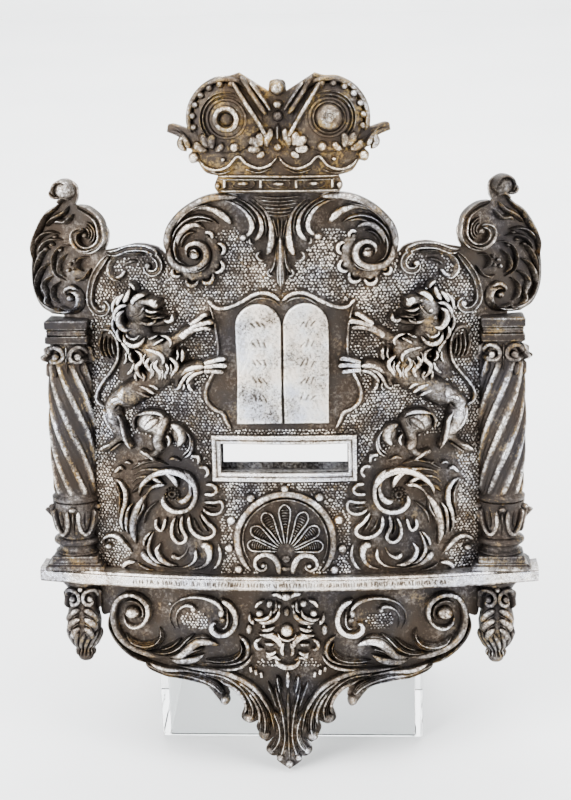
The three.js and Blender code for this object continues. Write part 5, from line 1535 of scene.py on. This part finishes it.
def twisted_ribs(turn, z):
    """Nine thick ribs with a thin one between each two, turning 150 degrees up the shaft."""
    share = np.clip((z - SHAFT_LOW) / (SHAFT_HIGH - SHAFT_LOW), 0, 1)
    window_share = np.clip(np.minimum(z - SHAFT_LOW, SHAFT_HIGH - z) / 2.5, 0, 1) ** 0.5
    phase = (RIBS * turn / (2 * np.pi) - RIBS * TWIST / 360 * share) % 1.0
    thick = np.clip(np.cos(2 * np.pi * phase) + 0.2, 0, 1.2) ** 0.6
    thin = np.exp(-((phase - 0.5) / 0.075) ** 2)
    wave = window_share * (1.4 * thick + 0.4 * thin - 0.8)
    # Rib crests are bright and the grooves dark: partly rubbing and blackening, partly a painted highlight and painted
    # shade
    shine = window_share * (0.95 * thick ** 1.6 + 0.15 * thin) + (1 - window_share) * 0.35
    grown = (z < SHAFT_LOW) | (z > SHAFT_HIGH)
    return wave, np.where(grown, 0.36, shine)


# %% The carving on a column
def column_carving():
    """Leaves of the cup and scrolls of the capital, drawn on the unrolled column."""
    carving = Relief(mirrored=False)
    for s in (-19.5, -6.5, 6.5, 19.5):
        carving.strokes(
            ([(s - 4, 138), (s - 3.9, 131), (s - 2.6, 126.4), (s, 124.4), (s + 2.6, 126.4), (s + 3.9, 131),
             (s + 4, 138)], 1.3, 2.2, BAND),
            ([(s, 128), (s, 132.6), (s, 137.6)], 1.1, 1.6, CREASE, (0.6, 0.4)),
        )
    for s in (-13, 0, 13):
        carving.stroke([(s, 123.6), (s, 131), (s, 137)], 1.5, 2.2, CREASE_BUD, (0.5, 0.8))
        carving.bead(s, 138.6, 1.9, 2.8, 1.5, sides=10, rings=3)
    for s in (-17, 17):
        carving.stroke([(s, 129), (s, 134), (s, 137.6)], 2.3, 5, BUD, (0.5, 1))
    for side in (-1, 1):
        scroll = volute((side * 5.4, 218.4), [1.6, 2.6, 3.8, 4.8, 5.2], 90 - 90 * side, side * -90)
        carving.stroke(scroll, 1.3, 3, BAND, (0.9, 0.7))
        carving.bead(side * 5.4, 218.4, 2.2, 4)
        carving.stroke([(side * 11.6, 223.4), (side * 14, 218.6), (side * 12, 214)], 1.9, 3.2, LEAF)
        carving.stroke([(side * 15.4, 222.4), (side * 17.6, 218), (side * 15.8, 214)], 1.6, 3.6, LEAF, 0.7,
                       both=False)
    carving.stroke("0,224 0,216 0,209.6", 1.6, 2.4, CREASE_ROOT)
    for s, z in ((-8, 211.4), (8, 211.4), (-15, 210.4), (15, 210.4)):
        carving.stroke([(s, 214.6), (s - 0.6, z), (s - 1.6, z - 4)], 1.4, 2, CREASE, (0.6, 0.9))
    return carving


# %% Put a column together
# The square blocks of plinth and capital, each a list of (height, half width, reach, shine); the shine is
# bright on the mouldings and dark in the steps, partly a painted highlight and painted shade
PLINTH = (
    [(105.9, 15, 12.8, 0.2), (106.6, 15.4, 13, 0.9), (108.2, 15.3, 12.9, 0.6), (108.6, 14.2, 12.2, 0.1),
     (109, 14.2, 12.2, 0.1), (109.6, 13.2, 12, 0.9), (109.9, 11.6, 11.4, 0.1)],
    [(109.6, 11.7, 11.5, 0.1), (110.6, 11.8, 11.6, 0.7), (112.2, 11.7, 11.5, 0.35), (113, 11.8, 11.6, 0.9),
     (113.5, 11.2, 11, 0.2)])
CAPITAL = (
    [(224.6, 9.6, 9.6, 0.1), (225.2, 10.6, 10.8, 0.8), (225.8, 10.8, 11, 0.15), (228, 10.7, 10.9, 0.15),
     (228.6, 10.6, 10.8, 0.9), (228.9, 9.8, 10, 0.1)],
    [(228.6, 9.5, 9.7, 0.1), (229.6, 10.2, 10.4, 0.55), (230.4, 9.8, 10, 0.3), (231.4, 10.2, 10.4, 0.55),
     (232.2, 9.6, 9.8, 0.1)],
    [(231.8, 9.8, 9.8, 0.1), (232.4, 10.6, 10.9, 0.9), (233, 10.9, 11.2, 0.15), (235.8, 10.9, 11.2, 0.2),
     (236.4, 10.8, 11.1, 0.9), (237.1, 9.8, 10, 0.2)])


def column_body():
    """All parts of one column, from below upwards."""
    column = Relief(mirrored=False)
    for levels in PLINTH:
        column.add(*block(COLUMN_X, levels))
    column.add(*turned(COLUMN_X, COLUMN_PROFILE, column_rows, twisted_ribs))
    points, faces, shine = column_carving().whole()
    column.add(roll_up(points, COLUMN_X, COLUMN_PROFILE), faces, shine)
    for levels in CAPITAL:
        column.add(*block(COLUMN_X, levels))
    return column


one_column = column_body()
upright_piece("twisted_column_right", one_column, 1, "column_right")
upright_piece("twisted_column_left", one_column, -1, "column_left")

# %% Hanging drops
DROP_X = 108.0
DROP_PROFILE = [(53, 0.6), (53.4, 2.2), (54.6, 3.7), (56.8, 4.5), (59, 3.9), (60.2, 2.9), (61, 3.4), (63, 5.4),
                (67, 7.4), (72, 9), (77, 9.4), (82, 8.4), (88, 7.2), (93, 7.8), (96, 9.6), (97, 10.6), (98.6, 10.8)]


def drop_body():
    """A cone of overlapping leaves, with two scrolls above and a ball below."""
    drop = Relief(mirrored=False)
    rows = np.unique(np.concatenate([np.arange(53.0, 98.6, 0.7), [98.6]]))
    drop.add(*turned(DROP_X, DROP_PROFILE, rows, None, 60))
    leaves = Relief(mirrored=False)
    # Strands wind round the lower cone, and leaves fall to both sides of the upper
    for s in np.arange(-24, 25, 4.2):
        leaves.stroke([(s - 3.4, 72), (s, 66), (s + 2.6, 60), (s + 3.4, 56.4)], 1.7, 2, LEAF, (0.6, 0.8))
    for side in (-1, 1):
        for top, reach, width in ((73.6, 6.4, 2.0), (78.4, 8.4, 2.3), (83.2, 9.4, 2.3)):
            leaves.strokes(
                ([(side * 0.6, top + 0.6), (side * 0.4 * reach, top), (side * 0.8 * reach, top - 2.8),
                 (side * reach, top - 7)], width, 2.8, LEAF, (1, 0.6)),
                ([(side * 1.4, top - 1.6), (side * 0.5 * reach, top - 3.4), (side * 0.7 * reach, top - 7)], 1.2,
                 2.2, CREASE, (0.7, 0.5)),
            )
    for side in (-1, 1):
        leaves.stroke(volute((side * 5.4, 89.6), [1.8, 3, 4.2, 5.2, 5.8], 90 - 90 * side, side * -90), 1.4, 3, BAND,
                      (0.9, 0.7))
        leaves.bead(side * 5.4, 89.6, 2.3, 4)
        leaves.stroke([(side * 12, 94), (side * 14.6, 89), (side * 12.6, 83)], 2, 3, LEAF, (0.7, 0.6))
    leaves.bead(0, 95, 1.8, 2.6)
    points, faces, shine = leaves.whole()
    drop.add(roll_up(points, DROP_X, DROP_PROFILE), faces, shine)
    return drop


one_drop = drop_body()
upright_piece("leaf_drop_right", one_drop, 1, "pendant_right")
upright_piece("leaf_drop_left", one_drop, -1, "pendant_left")

# %% [markdown]
# ## The crown
#
# The crown is a casting of its own, soldered in front of the plate: two swelling lobes with a boss
# each, three straps that cross in the middle, leaves and balls, a swag, and a band with oval
# studs. It kept more gilding than the rest and is browner. Everything on the lobes has to follow
# their swell, so the strokes ask a small function how high the ground is below them.

# %% Ground and lobes of the crown
CROWN_BASE = 5.5
LOBE_X, LOBE_Z, LOBE_RADIUS, LOBE_SWELL = 24.0, 337.5, 17.0, 3.2

crown_half = smooth_runs(
    [(0, 301.4), (29, 301.4)], [(30.8, 304.8), (29, 309.6)], [(35, 311.4), (38.6, 316.4)],
    [(42, 316), (43.4, 319.4), (41.4, 322)], [(47, 328), (53.6, 331)], [(52, 335), (43.8, 332.8)],
    [(43.6, 340), (38.6, 351), (30, 356.8), (22.6, 357.6), (18, 359)], [(4.2, 350.4)], [(3.4, 355), (0, 356)])
crown = Relief(CROWN_BASE)
slab_points, slab_faces, slab_front = cut_sheet(both_halves(crown_half), [], 0.35, CROWN_BASE, 0.8, 2.0)
slab_shine = np.full(len(slab_points), 0.12)
slab_shine[2 * slab_front:] = 0.55
crown.add(slab_points, slab_faces, slab_shine, both=False)


def on_lobes(x, z):
    """How far the lobes swell above the ground of the crown."""
    gap = np.hypot(np.abs(x) - LOBE_X, z - LOBE_Z)
    return LOBE_SWELL * np.sqrt(np.clip(1 - (gap / LOBE_RADIUS) ** 2, 0, 1))


crown.bead(LOBE_X, LOBE_Z, LOBE_RADIUS, LOBE_SWELL, glow=0.22, rings=10, sides=44)
# Rim with beads, and the double gilt line round each boss
crown.stroke(arc(LOBE_X, LOBE_Z, 18.4, -22, 118), 1.3, 3.2, BAND, 0.5, lift=on_lobes)
for radius in (11.0, 12.6):
    crown.stroke(arc(LOBE_X, LOBE_Z, radius, -60, 122), 0.55, 2, glow=0.5, lift=on_lobes)
crown.stroke(arc(LOBE_X, LOBE_Z, 9.2, 0, 362), 0.9, 1, HOOP, 0.15, lift=on_lobes)
for turn in range(-14, 112, 19):
    crown.bead(*((LOBE_X, LOBE_Z) + 16.4 * pointing(turn)), 1.9, 3, glow=0.7, lift=on_lobes)
# The left boss has worn to a ring round a hollow, the right one is still a dome
crown.stroke(arc(-LOBE_X, LOBE_Z, 5.2, 0, 365), 1.5, 3.8, BULB_HOOP, (0.9, 0.6), both=False, lift=on_lobes)
crown.bead(-LOBE_X, LOBE_Z, 3.4, 1.2, both=False, glow=0.05, lift=on_lobes)
crown.bead(LOBE_X, LOBE_Z, 6.6, 4, both=False, glow=0.75, lift=on_lobes, rings=6, sides=24)
crown.strokes(
    (arc(LOBE_X, LOBE_Z, 2.6, 0, 368), 0.8, 4.6, HOOP, (0.9, 0.4)),
    (arc(LOBE_X, LOBE_Z, 7.4, 0, 355), 0.5, 1.2, RING, 0.4),
    both=False, lift=on_lobes)

# %% Straps, leaves, balls and swag of the crown
for points, width, height, glow in (
    ("21,355.6 15.4,346.6 9.6,337 4.4,327", 1.3, 4, 0.8), ("17,357.6 12.4,350.6 8.4,344.4 4.8,338.6", 1.4, 5, 0.45),
    ("12.6,355 9,350 5.8,345.4 3,340.6", 1.1, 4.4, 0.8),
):
    crown.stroke(points, width, height, BAND, glow, lift=lambda x, z: on_lobes(x, z) * 0.6)
for z, radius, height, glow in (
    (351.8, 3.9, 5.2, 0.85), (343.8, 2.5, 4.4, 0.9), (338.2, 2.8, 4.2, 0.35), (323.4, 2.3, 3.6, 1),
):
    crown.bead(0, z, radius, height, both=False, glow=glow, rings=5, sides=18)
crown.stroke("0,335 0,331 0,326.6", 1.6, 3.6, CREASE, both=False)
for points, width in (
    ("5.4,323 5,326.6 3.6,330 3.4,333.4", 1.9), ("7.4,323.4 8.4,327 7.6,331.4", 2.2),
    ("8,323.6 11,326.4 14.4,327.4", 2.4), ("7.6,322.4 11.4,322.6 15,323", 2.1), ("6.6,322 8,320 10.6,318.8", 1.7),
    ("31,322.4 31.6,326.8 30,330.6", 2.1), ("33,323 35,327 36.4,331", 2.3), ("33.4,321.6 37.4,323.6 40,327", 2.1),
    ("30.4,321.4 27.4,323.4 26,326.4", 1.7), ("44,321.8 46.4,325.4 45.2,330", 1.7),
):
    crown.stroke(points, 1.15 * width, 3.4, LEAF, (0.7, 0.8), lift=lambda x, z: on_lobes(x, z) * 0.8)
crown.strokes(
    ("42,323 44.6,328.4 48.4,331 52.4,332", 2.2, 3.8, ROOT, (0.8, 0.1)),
    ("43.4,325.6 46,330.8 50.4,333.8", 1.3, 3.8, CREASE_ROOT, (0.9, 0.3)),
)
crown.bead(20.8, 323.8, 2.7, 3.8, lift=on_lobes)
crown.bead(40.3, 319, 2.7, 3.6)
crown.bead(26.4, 317.6, 1.4, 2.4)
crown.strokes(
    ("0,319.4 4,315.2 9.4,313.6 15,315.6 19.2,319.2 23.6,314.6 29,312.6 34,314 37.6,317.6", 1, 3, RING),
    ("2.4,314 9.4,311.4 16.4,313.2", 0.6, 2, WIRE, 0.7), ("20.6,313 27,310.8 33,312.2", 0.6, 2, WIRE, 0.6),
)
# The band: two mouldings, and oval studs in dark frames
for z, width, height in ((309.6, 0.9, 3.0), (302.6, 0.9, 3.2), (307.9, 0.4, 1.8)):
    crown.stroke([(-29, z), (-15, z), (0, z), (15, z), (29, z)], width, height, RING, both=False)
for x in (-17, 0, 17):
    crown.bead(x, 306, 3.2, 2.4, 1.3, both=False, sides=14, rings=4)
    crown.stroke([(x - 5.6, 306), (x - 4, 307.8), (x, 308.2), (x + 4, 307.8), (x + 5.6, 306), (x + 4, 304.2),
                 (x, 303.8), (x - 4, 304.2), (x - 5.6, 306)], 0.4, 1.4, RING, 0.5, both=False)
for x in (8.5, 25.6):
    crown.stroke([(x, 303.6), (x, 308.4)], 0.8, 2.4, BAND, 0.9)
crown.bead(29, 305, 1.5, 2.4, 2, glow=0.7)
relief_piece("jewelled_crown", crown, crown_silver, "crown_silver", "crown")

# %% [markdown]
# ## The clear stand
#
# The shield leans on a box of clear acrylic that is open below. Clear plastic shows itself by its
# edges: they are a little rounded and catch the light, while the walls hardly show. So the box
# gets a small bevel, and its material is plain transmission with the refraction of acrylic.

# %% Clear acrylic
acrylic, acrylic_tree = new_material("acrylic cast clear and polished")
dust = node(acrylic_tree, "ShaderNodeTexNoise", {
    "Vector": node(acrylic_tree, "ShaderNodeTexCoord").outputs["Object"], "Scale": per_mm(3), "Detail": 4.0})
haze = node(acrylic_tree, "ShaderNodeMapRange", {
    "Value": dust.outputs["Fac"], "From Min": 0.55, "From Max": 0.8, "To Min": 0.01, "To Max": 0.07})
clear = node(acrylic_tree, "ShaderNodeBsdfPrincipled", {
    "Base Color": hex_colour("#fbfdfd"), "Roughness": haze.outputs[0], "IOR": 1.49, "Transmission Weight": 1.0})
node(acrylic_tree, "ShaderNodeOutputMaterial", {"Surface": clear.outputs[0]})
WALL, ROUNDING = 0.004, 0.0006


def open_box(low, high, wall, rounding):
    """A box without a bottom, its edges rounded with small flats."""
    cavity_low = (low.x + wall, low.y + wall, low.z)
    cavity_high = (high.x - wall, high.y - wall, high.z - wall)
    corners, faces = [], []
    for near, far in ((low, high), (Vector(cavity_low), Vector(cavity_high))):
        corners += [(x, y, z) for z in (near.z, far.z) for x, y in
                    ((near.x, near.y), (far.x, near.y), (far.x, far.y), (near.x, far.y))]
    for shift, flip in ((0, False), (8, True)):
        walls = [[i, (i + 1) % 4, 4 + (i + 1) % 4, 4 + i] for i in range(4)] + [[4, 5, 6, 7]]
        faces += [[v + shift for v in (face[::-1] if flip else face)] for face in walls]
    faces += [[i, 8 + i, 8 + (i + 1) % 4, (i + 1) % 4] for i in range(4)]
    mesh = bpy.data.meshes.new("box")
    mesh.from_pydata(corners, [], faces)
    made = put("box", mesh)
    bevel = made.modifiers.new("rounded edges", "BEVEL")
    bevel.width = rounding
    bevel.segments = 2
    return take_result(made)


dress("clear_acrylic_box", open_box(stand_low, stand_high, WALL, ROUNDING), acrylic, "clear_acrylic", "clear_stand")

# %% [markdown]
# ## Stage, light and camera
#
# The object stands on a plain white table in front of a plain white wall. Polished silver has no
# look of its own: it shows the room. So the room matters more than the lamps. The world is a mid
# grey, which the silver's flanks mirror as grey, and three large soft panels give the crests
# something white to mirror. The hollows stay dark from their blackened colour, which also holds
# painted shade.

# %% Floor and backdrop
def plain_surface(name, colour, rough):
    """A painted surface with a faint mottle, so that it is not a flat grey card."""
    material, tree = new_material(name)
    place = node(tree, "ShaderNodeTexCoord").outputs["Object"]
    mottle = node(tree, "ShaderNodeTexNoise", {"Vector": place, "Scale": per_mm(220), "Detail": 2.0}).outputs["Fac"]
    paint = node(tree, "ShaderNodeValToRGB", {"Fac": mottle}, [
        (0.3, hex_colour(colour)), (0.75, hex_colour("#f6f7f7"))]).outputs["Color"]
    shader = node(tree, "ShaderNodeBsdfPrincipled", {"Base Color": paint, "Roughness": rough})
    node(tree, "ShaderNodeOutputMaterial", {"Surface": shader.outputs[0]})
    return material


def stage_quad(name, corners, material):
    """One flat sheet of the stage."""
    mesh = bpy.data.meshes.new(name)
    mesh.from_pydata(corners, [], [(0, 1, 2, 3)])
    mesh.materials.append(material)
    put(name, mesh)


white_paint = plain_surface("white painted table", "#eff1f2", 0.7)
stage_quad("floor", [(-3, -3, -0.0004), (3, -3, -0.0004), (3, 2.2, -0.0004), (-3, 2.2, -0.0004)], white_paint)
stage_quad("backdrop", [(-3, 2.2, -0.0004), (3, 2.2, -0.0004), (3, 2.2, 3.4), (-3, 2.2, 3.4)], white_paint)

# %% Light
world = bpy.data.worlds.new("pale room")
world.use_nodes = True
world.node_tree.nodes["Background"].inputs["Color"].default_value = hex_colour("#d6d8de")
world.node_tree.nodes["Background"].inputs["Strength"].default_value = 0.62
bpy.context.scene.world = world


def soft_panel(name, place, aim, width, height, power):
    """A large area light that looks at a point."""
    lamp = bpy.data.lights.new(name, "AREA")
    lamp.shape = "RECTANGLE"
    lamp.size, lamp.size_y = width, height
    lamp.energy = power
    made = put(name, lamp)
    made.location = place
    made.rotation_euler = (Vector(aim) - Vector(place)).to_track_quat("-Z", "Y").to_euler()


middle = (0, 0, 0.18)
soft_panel("panel_left", (-1.1, -0.9, 0.9), middle, 0.9, 1.2, 62)
soft_panel("panel_right", (1.2, -0.7, 0.7), middle, 0.7, 1.2, 30)
soft_panel("panel_top", (0.1, 0.1, 1.5), middle, 1.4, 1.0, 60)
soft_panel("panel_wall", (0, 1.0, 1.6), (0, 2.2, 0.5), 2.4, 0.8, 105)

# %% [markdown]
# ## The camera
#
# The photograph was taken from a little above the middle of the shield, square to it, about 88 cm
# away, with a slight turn of the camera. The place is given in the upright frame of the shield, in
# millimetres from its tip, and leans back with it.

# %% Camera
LENS_AT = np.array([53.7, -877.8, 384.4])
LOOK_AT = np.array([1.2, 0.0, 197.5])
ROLL = math.radians(-0.99)

ahead = (LOOK_AT - LENS_AT) / np.linalg.norm(LOOK_AT - LENS_AT)
right = np.cross(ahead, (0, 0, 1))
right /= np.linalg.norm(right)
upward = np.cross(right, ahead)
turned_right = right * math.cos(ROLL) + upward * math.sin(ROLL)
turned_up = upward * math.cos(ROLL) - right * math.sin(ROLL)
axes = lean_back(LENS_AT + np.array([(0, 0, 0), turned_right, turned_up, -ahead]))
camera_data = bpy.data.cameras.new("camera")
camera_data.sensor_fit = "VERTICAL"
camera_data.sensor_height = 36
camera_data.lens = 80.87
camera_data.clip_start = 0.01
camera = put("camera", camera_data)
camera.matrix_world = Matrix.Translation(axes[0]) @ Matrix(
    [(axes[i] - axes[0]) * 1000 for i in (1, 2, 3)]).transposed().to_4x4()
bpy.context.scene.camera = camera
print("camera at", [round(v, 3) for v in camera.location])
